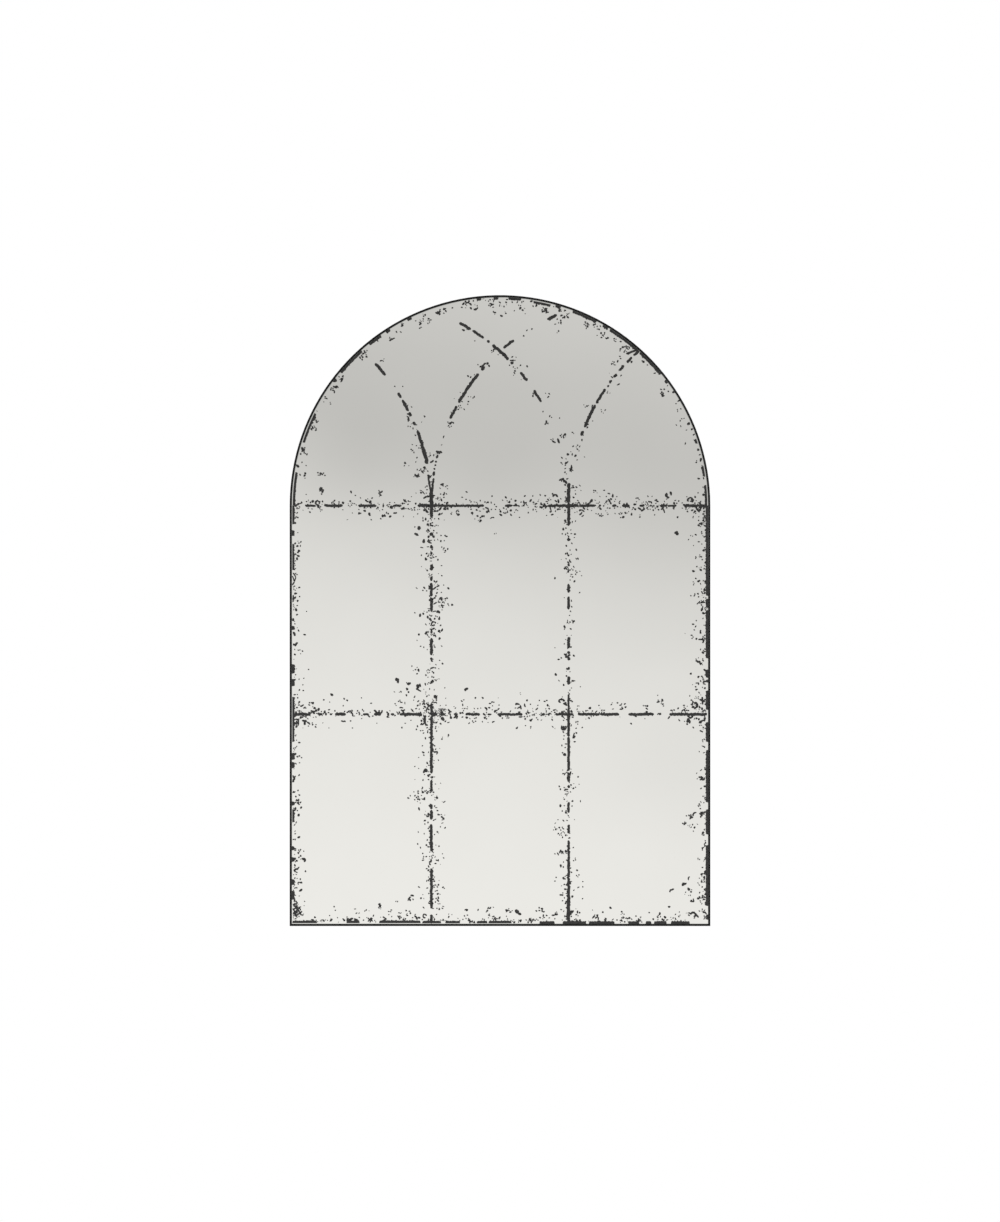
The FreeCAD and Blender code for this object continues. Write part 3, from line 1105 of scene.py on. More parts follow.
@dataclass
class EdgeWear(Marks):
    """Dark bands where the silvering has failed along the glass edge.

    A band is its start and end along the edge. The pairs of floats are the insets of its two sides.
    """

    name: str = "edge_wear"
    seed: int = 23
    frame_half: float = 400.0
    spring: float = 800.0
    close: Range = (3.9, 8.6)
    set_in: Range = (4.9, 9.1)
    touching: Range = (3.9, 9.4)
    arch_gap: Range = (5.7, 10.4)
    sill_gap: Range = (5.4, 10.4)
    sill_close: Range = (5.1, 9.8)
    sill_flush: Range = (3.9, 9.1)
    left_bands: Spans = ((764, 800), (677, 727), (350, 436), (197, 222))
    left_blobs: Spans = (
        (742, 753), (563, 571), (480, 498), (456, 470), (316, 329), (300, 312), (229, 237), (144, 152),
        (122, 131), (78, 89), (50, 67),
    )
    right_bands: Spans = (
        (628, 800), (605, 622.5), (509, 601), (472, 488), (463, 469), (411, 448), (350, 388), (235, 335),
        (174, 222), (38, 154), (12, 22),
    )
    sill_set_in: Spans = ((-395, -348), (-292, -267), (-230, -151))
    sill_near: Spans = (
        (-148, -112), (-104, -76), (-44, -24), (-22, 22), (25, 29), (52, 55), (58, 61), (-59, -56),
        (-50, -47),
    )
    sill_bands: Spans = ((75, 104), (119, 164), (169, 218), (244, 265), (277, 288), (293, 317), (325, 361))
    arch_close: Spans = (
        (142.3, 143.5), (131.8, 140.2), (125.0, 129.1), (122.0, 123.4), (115.2, 116.6), (95.2, 96.5),
        (90.4, 91.8), (84.1, 87.7), (72.9, 74.5), (62.3, 69.5), (58.6, 60.3), (48.3, 58.0), (39.2, 47.6),
        (36.1, 37.2), (32.8, 33.5), (30.1, 30.6),
    )
    arch_set_in: Spans = (
        (170.7, 180.0), (153.5, 162.3), (75.8, 80.7), (17.4, 18.8), (8.0, 11.0), (0.0, 5.7),
    )

    def arch(self) -> Track:
        """Along the arch, in degrees from its right springing. Across is the inset."""
        return facing(bow(0.0, self.spring, self.frame_half, 1), -1)

    def stile(self, side: int) -> Track:
        """Up one side, in millimetres of height. Across is the inset."""
        return facing(plumb(side * self.frame_half), -side)

    def sill(self) -> Track:
        """Along the foot, in millimetres of width. Across is the inset."""
        return level(0.0)

    def lay(self, flakes: Flakes) -> None:
        """Lays the bands, run by run.

        Args:
            flakes: what gathers them.
        """
        runs = [
            (self.stile(-1), self.left_bands, self.set_in),
            (self.stile(-1), self.left_blobs, self.touching),
            (self.stile(1), self.right_bands, self.close),
            (self.sill(), self.sill_set_in, self.sill_gap),
            (self.sill(), self.sill_near, self.sill_close),
            (self.sill(), self.sill_bands, self.sill_flush),
            (self.arch(), self.arch_close, self.close),
            (self.arch(), self.arch_set_in, self.arch_gap),
        ]
        for track, bands, (outer, inner) in runs:
            for start, end in bands:
                flakes.band(track, start, end, outer * MM, inner * MM)


@dataclass(frozen=True)
class Dust:
    """Specks along a line: where the first bin starts, how long a bin is and how many specks each holds."""

    start: float
    step: float
    counts: tuple[int, ...]

    def across(self, count: int, rng: np.random.Generator) -> Array:
        """How far to the side of the line each speck lies.

        Args:
            count: the number of specks.
            rng: where the draws come from.

        Returns:
            The distances, in metres.
        """
        raise NotImplementedError


@dataclass(frozen=True)
class LineDust(Dust):
    """Specks on both sides of a line. Some lie close to it and the rest out to about reach."""

    lean: float = 0.0
    reach: float = 8.0
    near_share: float = 0.36
    near_reach: float = 3.8
    farthest: float = 2.2

    def across(self, count: int, rng: np.random.Generator) -> Array:
        """A normal spread round the lean, cut off where it runs out too far."""
        away = np.where(rng.uniform(size=count) < self.near_share, self.near_reach * MM, self.reach * MM)
        return self.lean * MM + away * np.clip(rng.normal(size=count), -self.farthest, self.farthest)


@dataclass(frozen=True)
class RimDust(Dust):
    """Specks in from the glass edge, thinning out inwards."""

    nearest: float = 7.0
    reach: float = 6.2

    def across(self, count: int, rng: np.random.Generator) -> Array:
        """An exponential spread from the nearest inset inwards."""
        return self.nearest * MM + self.reach * MM * rng.exponential(size=count)


@dataclass
class FoxingSpecks(Marks):
    """Specks of failed silvering, thick about the lines and the edge.

    The dusts follow the two bars, the two mullions, the left, right, lower and arched edge and the
    four arcs. A cluster is its middle, its reach and its number of specks.
    """

    name: str = "foxing_specks"
    seed: int = 37
    lines: TraceryLines = field(default_factory=TraceryLines)
    edge: EdgeWear = field(default_factory=EdgeWear)
    share: float = 0.90
    tight: float = 0.84
    apart: float = 3.3 * MM
    push_rounds: int = 4
    push_most: float = 3.0
    push_share: float = 0.5
    dusts: tuple[Dust, ...] = (
        LineDust(-400, 50, (36, 32, 24, 32, 36, 52, 26, 26, 26, 38, 44, 20, 28, 40, 18, 60), -0.2, 12.0),
        LineDust(-400, 50, (62, 22, 22, 11, 32, 80, 29, 36, 21, 38, 36, 24, 9, 6, 13, 56), 2.6, 13.0),
        LineDust(0, 50, (24, 28, 36, 28, 26, 30, 26, 32, 36, 34, 20, 38, 26, 26, 40, 40), 0.4, 14.5),
        LineDust(0, 50, (28, 24, 14, 16, 22, 40, 6, 16, 18, 15, 17, 16, 9, 24, 19, 27), -1.8, 11.0),
        RimDust(0, 50, (34, 26, 23, 8, 16, 5, 15, 14, 12, 11, 8, 9, 21, 12, 16, 9)),
        RimDust(0, 50, (16, 24, 12, 12, 15, 9, 8, 20, 7, 16, 15, 17, 30, 22, 17, 26)),
        RimDust(-400, 50, (10, 20, 17, 17, 27, 12, 17, 16, 18, 16, 9, 11, 16, 13, 15, 8)),
        RimDust(0, 10, (6, 5, 4, 5, 8, 6, 7, 7, 6, 10, 3, 5, 6, 5, 3, 2, 6, 6)),
        LineDust(0, 10, (9, 6, 8, 3, 4)),
        LineDust(0, 10, (6, 3, 6, 7, 4, 2)),
        LineDust(0, 10, (4, 5, 4, 5, 6, 3)),
        LineDust(0, 10, (0, 8, 6, 5, 9)),
    )
    clusters: Spans = (
        (-302, 1039, 4, 6), (-318, 1020, 4, 6), (-333, 1001, 5, 8), (-349, 961, 5, 6), (-353, 947, 4, 5),
        (-371, 901, 6, 4), (-339, 860, 5, 7), (-372, 857, 3, 2), (-259, 1084, 5, 6), (-207, 1116, 5, 4),
        (-224, 1076, 3, 3), (-150, 1147, 4, 7), (-134, 1153, 3, 6), (-117, 1166, 4, 6), (-145, 1162, 6, 4),
        (-102, 1175, 3, 3), (-67, 1182, 5, 8), (-50, 1174, 4, 3), (-18, 1183, 5, 8), (-13, 1169, 4, 3),
        (5, 1183, 6, 6), (7, 1166, 4, 3), (39, 1173, 8, 8), (86, 1171, 6, 9), (113, 1168, 5, 5),
        (112, 1138, 4, 4), (114, 1151, 4, 4), (127, 1161, 5, 8), (166, 1142, 4, 8), (186, 1136, 5, 5),
        (199, 1122, 5, 7), (217, 1115, 3, 3), (240, 1099, 6, 15), (218, 1071, 4, 6), (229, 1097, 2, 2),
        (312, 1016, 6, 6), (339, 984, 4, 3), (339, 961, 4, 3), (374, 884, 3, 2), (30, 1077, 5, 5),
        (29, 1059, 5, 4), (45, 1065, 5, 2), (-14, 1095, 4, 6), (-33, 1065, 5, 5), (-53, 1044, 5, 5),
        (-61, 1003, 6, 7), (-76, 988, 4, 5), (-94, 952, 5, 7), (-174, 966, 5, 6), (-153, 961, 4, 3),
        (-176, 948, 3, 2), (-162, 908, 5, 6), (-154, 888, 3, 2), (-179, 875, 4, 3), (-158, 862, 5, 8),
        (-143, 870, 4, 5), (-135, 861, 4, 5), (-127, 895, 6, 7), (-117, 901, 4, 5), (-105, 836, 5, 4),
        (-106, 822, 4, 5), (-145, 823, 5, 6), (-228, 823, 3, 3), (91, 1010, 4, 3), (87, 955, 3, 4),
        (104, 922, 5, 5), (122, 931, 4, 6), (136, 939, 3, 2), (145, 910, 4, 4), (134, 901, 4, 2),
        (118, 882, 6, 6), (135, 867, 3, 5), (121, 848, 4, 7), (144, 835, 5, 7), (167, 988, 3, 4),
        (195, 979, 3, 4), (166, 953, 3, 3), (205, 1017, 4, 3), (52, 1132, 1, 1), (-185, 440, 14, 14),
        (-68, 424, 9, 4), (-10, 418, 8, 7), (41, 418, 4, 4), (40, 443, 2, 2), (229, 418, 5, 6),
        (304, 427, 6, 6), (277, 416, 6, 3), (369, 434, 7, 12), (61, 381, 4, 2), (379, 700, 4, 4),
        (362, 742, 5, 3), (370, 649, 5, 2), (370, 630, 4, 2), (380, 765, 4, 5), (370, 570, 4, 3),
        (369, 552, 5, 4), (376, 505, 4, 5), (378, 460, 8, 8), (370, 420, 6, 10), (385, 282, 4, 7),
        (379, 234, 6, 4), (384, 212, 5, 8), (363, 207, 4, 7), (351, 195, 3, 4), (367, 192, 6, 8),
        (383, 93, 6, 6), (359, 90, 2, 2), (358, 64, 5, 6), (328, 67, 3, 3), (367, 50, 3, 3),
        (383, 54, 4, 8), (359, 26, 3, 4), (383, 28, 4, 6), (342, 19, 8, 4), (-230, 38, 5, 5),
        (-252, 31, 4, 3), (-271, 23, 3, 2), (-210, 26, 4, 4), (-197, 43, 4, 2), (-178, 25, 4, 4),
        (-170, 54, 4, 5), (-148, 57, 4, 2), (-115, 38, 6, 4), (-119, 53, 5, 5), (-65, 25, 8, 6),
        (-20, 29, 7, 7), (20, 38, 7, 5), (78, 30, 3, 2), (106, 22, 4, 3), (60, 13, 5, 4), (147, 20, 7, 6),
        (182, 16, 5, 7), (240, 21, 8, 6), (303, 20, 5, 5), (-384, 31, 9, 21), (-111, 617, 7, 11),
        (-97, 610, 4, 2), (-119, 588, 4, 3), (-149, 249, 9, 12), (-167, 249, 6, 4), (-159, 228, 4, 2),
        (-122, 245, 4, 4), (-112, 209, 6, 5), (-161, 491, 6, 6), (-39, 775, 6, 5), (-17, 781, 8, 4),
        (-6, 750, 3, 2), (-78, 783, 4, 3), (117, 139, 5, 7), (115, 177, 8, 7), (108, 192, 4, 3),
        (142, 126, 3, 3), (146, 100, 4, 4), (212, 814, 10, 9), (178, 825, 4, 4), (192, 787, 8, 6),
        (201, 806, 6, 4), (228, 777, 4, 2), (244, 787, 4, 4), (-251, 796, 8, 10), (-219, 796, 9, 9),
        (-220, 781, 8, 4), (-100, 716, 6, 6), (-382, 525, 5, 4), (149, 677, 9, 7), (20, 31, 5, 4),
        (78, 29, 4, 3), (-14, 17, 5, 4), (-19, 35, 4, 3),
    )

    def parted(self, places: Array) -> Array:
        """Specks that lie too close are pushed away from each other, by half of what is missing.

        Args:
            places: speck by x and z.

        Returns:
            The places after a few rounds.
        """
        for _ in range(self.push_rounds):
            gap = places[:, None] - places[None]
            far = np.hypot(gap[..., 0], gap[..., 1]) + np.eye(len(places))
            push = np.clip(self.apart / far - 1.0, 0.0, self.push_most)
            places = places + self.push_share * np.sum(gap * push[..., None], 1)
        return places

    def along(self, track: Track, dust: Dust, rng: np.random.Generator) -> Array:
        """The middles of the specks along a line.

        Args:
            track: the line.
            dust: the specks.
            rng: where the draws come from.

        Returns:
            Speck by x and z.
        """
        rows = []
        for index, most in enumerate(dust.counts):
            count = round(self.share * most)
            run = dust.start + dust.step * (index + rng.uniform(size=count))
            rows.append(track.place(run, dust.across(count, rng)))
        return self.parted(np.concatenate(rows))

    def lay(self, flakes: Flakes) -> None:
        """Strews the dusts and then the clusters, and lays all of their specks at once.

        Args:
            flakes: what gathers them.
        """
        rng, edge, bars = flakes.random, self.edge, self.lines.bars
        tracks = [track for track, _ in self.lines.tracks()]
        tracks[bars:bars] = [edge.stile(-1), edge.stile(1), edge.sill(), edge.arch()]
        rows = [self.along(track, dust, rng) for track, dust in zip(tracks, self.dusts)]
        for x, z, reach, count in self.clusters:
            cloud = self.tight * reach * MM * rng.normal(size=(count, 2))
            rows.append(self.parted(np.array([x, z]) * MM + cloud))
        flakes.specks(np.concatenate(rows))


@dataclass
class FoxingBlots(Marks):
    """Larger marks of failed silvering.

    A blot is its middle and radius, a curl its middle, radius, first and last angle and half its
    width, and a stroke its two ends and half its width.
    """

    name: str = "foxing_blots"
    seed: int = 38
    spread: float = 0.25
    grow: float = 1.04
    stretch: float = 0.5
    corners: int = 26
    curl_rough: float = 1.6
    blots: Spans = (
        (-341, 831, 3.4), (-338, 826, 2.0), (-117, 1167, 2.6), (-187, 1146, 2.0), (-301, 1040, 2.3),
        (-310, 1026, 2.2), (-157, 856, 2.9), (-110, 840, 2.6), (-154, 757, 3.3), (-159, 745, 3.0),
        (-145, 732, 3.0), (-141, 698, 2.4), (-196, 469, 3.2), (-194, 465, 2.5), (-173, 461, 2.8),
        (-156, 456, 3.6), (-152, 458, 2.2), (-64, 451, 2.8), (-66, 449, 2.0), (-320, 440, 2.5),
        (-123, 436, 3.2), (-37, 771, 2.2), (135, 868, 2.8), (366, 810, 3.0), (325, 823, 2.7),
        (167, 1141, 1.8), (337, 747, 3.2), (334, 748, 2.2), (121, 378, 2.4), (141, 360, 2.5),
        (123, 326, 2.8), (363, 207, 2.6), (348, 78.5, 2.4), (353.5, 80.5, 1.5), (359, 70, 2.6),
        (-384, 386.5, 2.0), (-364, 386, 2.4), (-143, 391, 2.6), (-84, 398, 3.0), (-141, 296, 3.4),
        (-383, 211, 2.3), (-373, 127, 3.2), (-371, 124, 2.0), (-229, 41, 2.2), (-167, 58, 2.3),
        (-394, 624, 2.8), (-394, 583, 2.6), (-392, 489.5, 2.5), (-385, 875, 2.8), (-376, 908, 2.6),
        (-363, 420.5, 1.4), (-356, 424, 2.2), (-345, 412, 2.4), (-181, 809, 2.1), (-356, 808, 2.2),
        (-34, 1064, 2.5), (378, 656, 2.3), (368, 675, 2.2), (384, 602, 2.5), (387, 595, 2.3),
        (376, 503, 2.5), (386, 520, 2.2), (363, 480, 1.8), (384, 281, 2.4), (383, 214, 2.9),
        (352, 195, 2.1), (-390, 107, 2.3), (-379, 68, 2.6), (107, 22, 2.4), (136, 26.5, 2.9),
        (134.5, 23, 1.9), (358, 391, 3.6), (361, 388, 2.2), (-109, 394, 3.4), (-186, 1142, 2.1),
        (18, 806.5, 1.9), (-393, 255, 1.6), (360, 956, 1.9), (365, 945, 1.8), (369, 935, 1.7),
        (377, 906, 2.1), (382, 887, 2.6), (378, 851, 1.9), (-245, 13, 2.6), (-285, 12, 3.2),
        (-274, 11, 2.6), (-91, 611, 1.9), (-152, 591, 2.4), (-146, 594, 1.8), (-133, 584, 2.1),
        (-37, 777, 1.6), (24, 1071, 1.9), (-268, 785, 2.0), (-209, 779, 2.1), (-222, 799, 1.9),
        (-246, 807, 1.9), (213, 1044, 1.6), (57, 13, 1.9), (-10, 14.5, 2.0), (-1, 15.5, 1.9), (80, 33, 1.8),
        (118, 141, 2.4), (-120, 244, 2.0), (-144, 242, 2.2), (173, 809, 2.3), (-225, 826, 1.8),
        (-174, 445, 1.6), (-178, 439, 1.6), (-163, 435, 1.1), (-139, 437, 1.4), (-156.5, 419.5, 1.7),
        (-152, 423, 1.2), (-146.5, 422.5, 1.6), (-159.5, 413.5, 1.4), (-153.5, 412.5, 1.0),
        (-139.5, 423.5, 1.2), (290.5, 799, 1.0), (299.5, 798, 1.9), (291.5, 791, 1.4), (301.5, 792, 1.4),
        (297.5, 810.5, 1.6), (296.5, 804, 1.0), (193, 410, 1.0), (168.5, 396, 1.2), (47, 421, 1.5),
        (65, 402.5, 1.3), (46.5, 398.5, 1.2), (52, 398.5, 1.2), (56.5, 399.5, 1.0), (69.5, 396, 1.1),
        (72, 392.5, 1.1), (93.5, 413.5, 1.5), (88, 409.5, 1.0), (-119, 219.5, 1.4), (-117.5, 212, 1.5),
        (-111, 207.5, 1.4), (-136, 213, 2.0), (-138.5, 208, 1.3), (-143, 200.5, 1.7), (-137, 197, 1.4),
        (-143, 194, 1.1), (-122.5, 203, 1.0), (-119, 179, 1.5), (-124.5, 174, 1.0), (-133.5, 181, 1.9),
        (120.5, 369, 1.5), (146, 367, 1.1), (124, 339.5, 1.1), (119, 329.5, 1.3), (156.5, 377.5, 1.2),
        (76.5, 820, 1.3), (86, 818.5, 1.5), (100, 822, 1.5), (91, 811.5, 1.3), (88.5, 807.5, 1.3),
        (90.5, 804, 1.1), (63.5, 806, 1.4), (67, 798, 1.3), (78, 805, 0.9), (122.5, 79, 1.4),
        (124, 70, 1.8), (135, 84.5, 1.3), (149, 73.5, 1.4), (157.5, 74.5, 1.1), (140.5, 68, 1.1),
        (137.5, 56, 2.0), (157, 52, 1.1), (122.5, 53.5, 1.1), (119, 48, 1.1), (124.5, 43, 1.4),
        (157.5, 84.5, 1.0), (126.5, 62, 1.1), (137.5, 768.5, 1.3), (166.5, 792.5, 1.4), (149.5, 805.5, 1.4),
        (-157, 380, 1.5), (-159, 374, 1.3), (-151, 371.5, 1.1), (-145.5, 367, 1.2), (-137.5, 369.5, 1.7),
        (21.5, 812, 1.0), (5, 810, 1.0), (7, 795, 1.4), (15.5, 797.5, 2.2), (12, 793, 1.0),
        (20.5, 790.5, 2.0), (14, 787, 1.3), (21, 782, 1.7), (-120, 633.5, 1.6), (-122, 628, 1.5),
        (-124.5, 624, 1.9), (-111, 620.5, 1.8), (-104, 622.5, 1.5), (-117, 616.5, 1.4), (-109, 616, 1.4),
        (-110.5, 609.5, 1.9), (-119, 640.5, 1.1), (-111.5, 634.5, 1.0), (-139.5, 637.5, 1.1),
    )
    curls: Spans = (
        (-347, 805, 3.6, -20, 300, 1.1), (105, 817, 3.6, -20, 200, 1.3), (155, 787.5, 4.4, -5, 165, 1.4),
        (321, 820, 4.6, 130, 290, 1.9), (362, 810, 4.4, -60, 220, 1.4), (-387, 389, 3.8, -150, 130, 1.7),
        (-126.5, 575, 3.8, 0, 330, 1.0), (117, 428, 3.8, -20, 250, 1.5), (121, 378, 4.0, 130, 400, 1.6),
        (371, 420, 4.6, -170, 120, 1.6), (-143, 19, 3.3, 0, 300, 1.2), (-62, 1189, 3.3, 170, 400, 1.3),
        (-124, 76, 2.3, 10, 190, 0.8), (-297, 393, 4.5, 200, 320, 1.2), (-119, 596, 3.5, -30, 120, 1.1),
        (350, 77, 4.0, 20, 130, 1.2), (-340, 828, 3.0, -80, 60, 1.2), (372, 212, 4.2, 60, 220, 1.1),
        (128, 515, 2.6, 90, 300, 1.2), (362, 402, 5.0, 200, 330, 1.3), (-394, 554, 3.6, -45, 95, 1.7),
    )
    strokes: Spans = (
        (-394, 672, -388, 664, 1.0), (-388, 664, -391, 655, 1.0), (-395, 666, -391, 655, 0.9),
        (-391, 655, -395, 648, 1.1), (-394, 624, -388, 624, 1.4), (-393, 630, -394, 616, 1.1),
        (-394, 287, -392, 281, 1.3), (-389, 286, -392, 281, 1.3), (-392, 281, -394, 273, 1.4),
        (-394, 253, -389, 256, 1.0), (-394, 42, -378, 22, 1.3), (-394, 34, -386, 17, 1.3),
        (-380, 36, -394, 22, 1.1), (-376, 28, -390, 18, 1.3), (-389, 40, -383, 32, 1.0),
        (-383, 25, -377, 20, 1.1), (-377, 391, -367, 389, 1.7), (-372, 391, -371, 382, 1.9),
        (-128, 640, -121, 645, 1.3), (-121, 645, -115, 648, 1.2), (-130, 640, -136, 648, 1.4),
        (-135, 621, -126, 621, 1.4), (-128, 598, -121, 599, 0.9), (-127, 612, -120, 616, 1.1),
        (-118, 559, -114, 563, 1.7), (-112, 560, -109, 566, 1.6), (-127, 331, -118, 331, 1.3),
        (-118, 331, -121, 326, 1.0), (-142, 299, -146, 291, 1.8), (-334, 803, -329, 799, 1.1),
        (-260, 791, -255, 788, 1.5), (-257, 811, -251, 806, 1.4), (-184, 812, -180, 807, 1.3),
        (-146, 813, -139, 818, 1.4), (-143, 793, -136, 786, 1.7), (-128, 795, -133, 784, 2.0),
        (-117, 790, -111, 797, 1.5), (-108, 793, -103, 797, 1.4), (110, 812, 112, 804, 1.5),
        (104, 810, 109, 806, 1.2), (95, 798, 98, 787, 1.0), (157, 797, 162, 792, 1.3),
        (164, 801, 173, 806, 1.4), (173, 806, 176, 812, 1.6), (308, 799, 313, 788, 1.1),
        (262, 796, 269, 791, 1.5), (276, 794, 268, 789, 1.4), (372, 797, 380, 787, 1.6),
        (378, 790, 384, 796, 1.4), (120, 424, 128, 419, 1.7), (129, 428, 131, 440, 1.1),
        (379, 431, 389, 427, 1.6), (384, 436, 386, 421, 1.6), (386, 427, 391, 432, 1.2),
        (378, 387, 387, 392, 1.6), (349, 412, 345, 408, 1.2), (-252, 401, -247, 397, 1.2),
        (-240, 411, -234, 406, 1.6), (-234, 406, -226, 404, 1.8), (-226, 404, -224, 411, 1.3),
        (-216, 408, -211, 403, 1.5), (-211, 403, -215, 396, 1.2), (-144, 401, -143, 384, 2.3),
        (-143, 385, -137, 381, 1.3), (-143, 387, -149, 382, 1.2), (-155, 405, -149, 399, 1.9),
        (-152, 408, -149, 400, 1.5), (-99, 413, -93, 406, 1.3), (-86, 401, -81, 395, 1.6),
        (-160, 452, -150, 446, 1.3), (-292, 405, -286, 410, 1.1), (-281, 406, -279, 398, 1.1),
        (378, 614, 391, 616, 0.9), (374, 612, 380, 617, 0.8), (377, 545, 388, 545, 1.3),
        (385, 549, 387, 541, 1.1), (-223, 18, -217, 14, 1.1), (-195, 20, -190, 12, 1.1),
        (-163, 20, -158, 16, 1.2), (-120, 51, -116, 46, 1.3), (28, 29.5, 36, 25, 3.2),
        (34, 25, 41, 22.5, 2.3), (361, 22, 368, 27, 1.6), (368, 27, 378, 16, 1.6), (176, 15, 180, 20, 1.1),
        (181, 17, 185, 15, 1.0), (184, 20, 188, 14, 1.1), (230, 13, 233, 8, 1.2), (233, 14, 237, 17, 1.3),
        (-252, 15, -242, 9, 1.2), (-251, 9, -242, 15, 1.1), (-291, 15, -288, 9, 1.8),
        (-278, 14, -270, 11, 1.4), (134, 25.5, 140.5, 29.5, 1.3), (-30, 1194, -37, 1193, 0.9),
        (57, 1187, 63, 1190, 1.5), (240, 1088, 260, 1096, 1.8), (-300, 1041, -303, 1034, 1.4),
        (-318, 1027, -310, 1023, 1.5), (86, 1173, 90, 1170, 1.6), (127, 1160, 131, 1156, 1.4),
        (-120, 1169, -113, 1163, 1.4), (-384, 420, -380.5, 421, 1.1), (-379, 417, -373, 421, 1.2),
        (-374.5, 414, -369.5, 417, 1.1), (-157.5, 426, -153.5, 429.5, 1.0), (-146, 431, -143, 427, 0.8),
        (312.5, 798, 306, 791.5, 1.2), (311, 791.5, 313.5, 785.5, 1.0), (181, 405.5, 185, 410, 0.9),
        (172.5, 400, 174.5, 397, 0.8), (50.5, 407.5, 56.5, 404.5, 1.4), (67.5, 410.5, 72, 415.5, 1.1),
        (141, 366, 138.5, 356.5, 1.1), (139.5, 350.5, 144.5, 350.5, 1.2), (66, 801.5, 70.5, 804.5, 1.2),
        (150.5, 782, 155, 785, 1.4), (155, 778.5, 159.5, 782, 0.9), (-151.5, 382, -148, 386.5, 1.1),
        (9.5, 817.5, 13, 813.5, 1.4),
    )

    def lay(self, flakes: Flakes) -> None:
        """Lays the blots, the curls and the strokes.

        Args:
            flakes: what gathers them.
        """
        table = np.array(self.blots) * MM
        stretch = 1.0 + self.stretch * np.abs(flakes.random.normal(size=len(table)))
        flakes.blots(table[:, :2], self.grow * table[:, 2] + self.spread * MM, stretch, self.corners)
        for x, z, radius, start, end, half in self.curls:
            flakes.dash(bow(x, z, radius, 1), start, end, (half + self.spread) * MM, self.curl_rough)
        for *ends, half in self.strokes:
            flakes.dash(stroke(*ends), 0.0, 1.0, (half + self.spread) * MM)


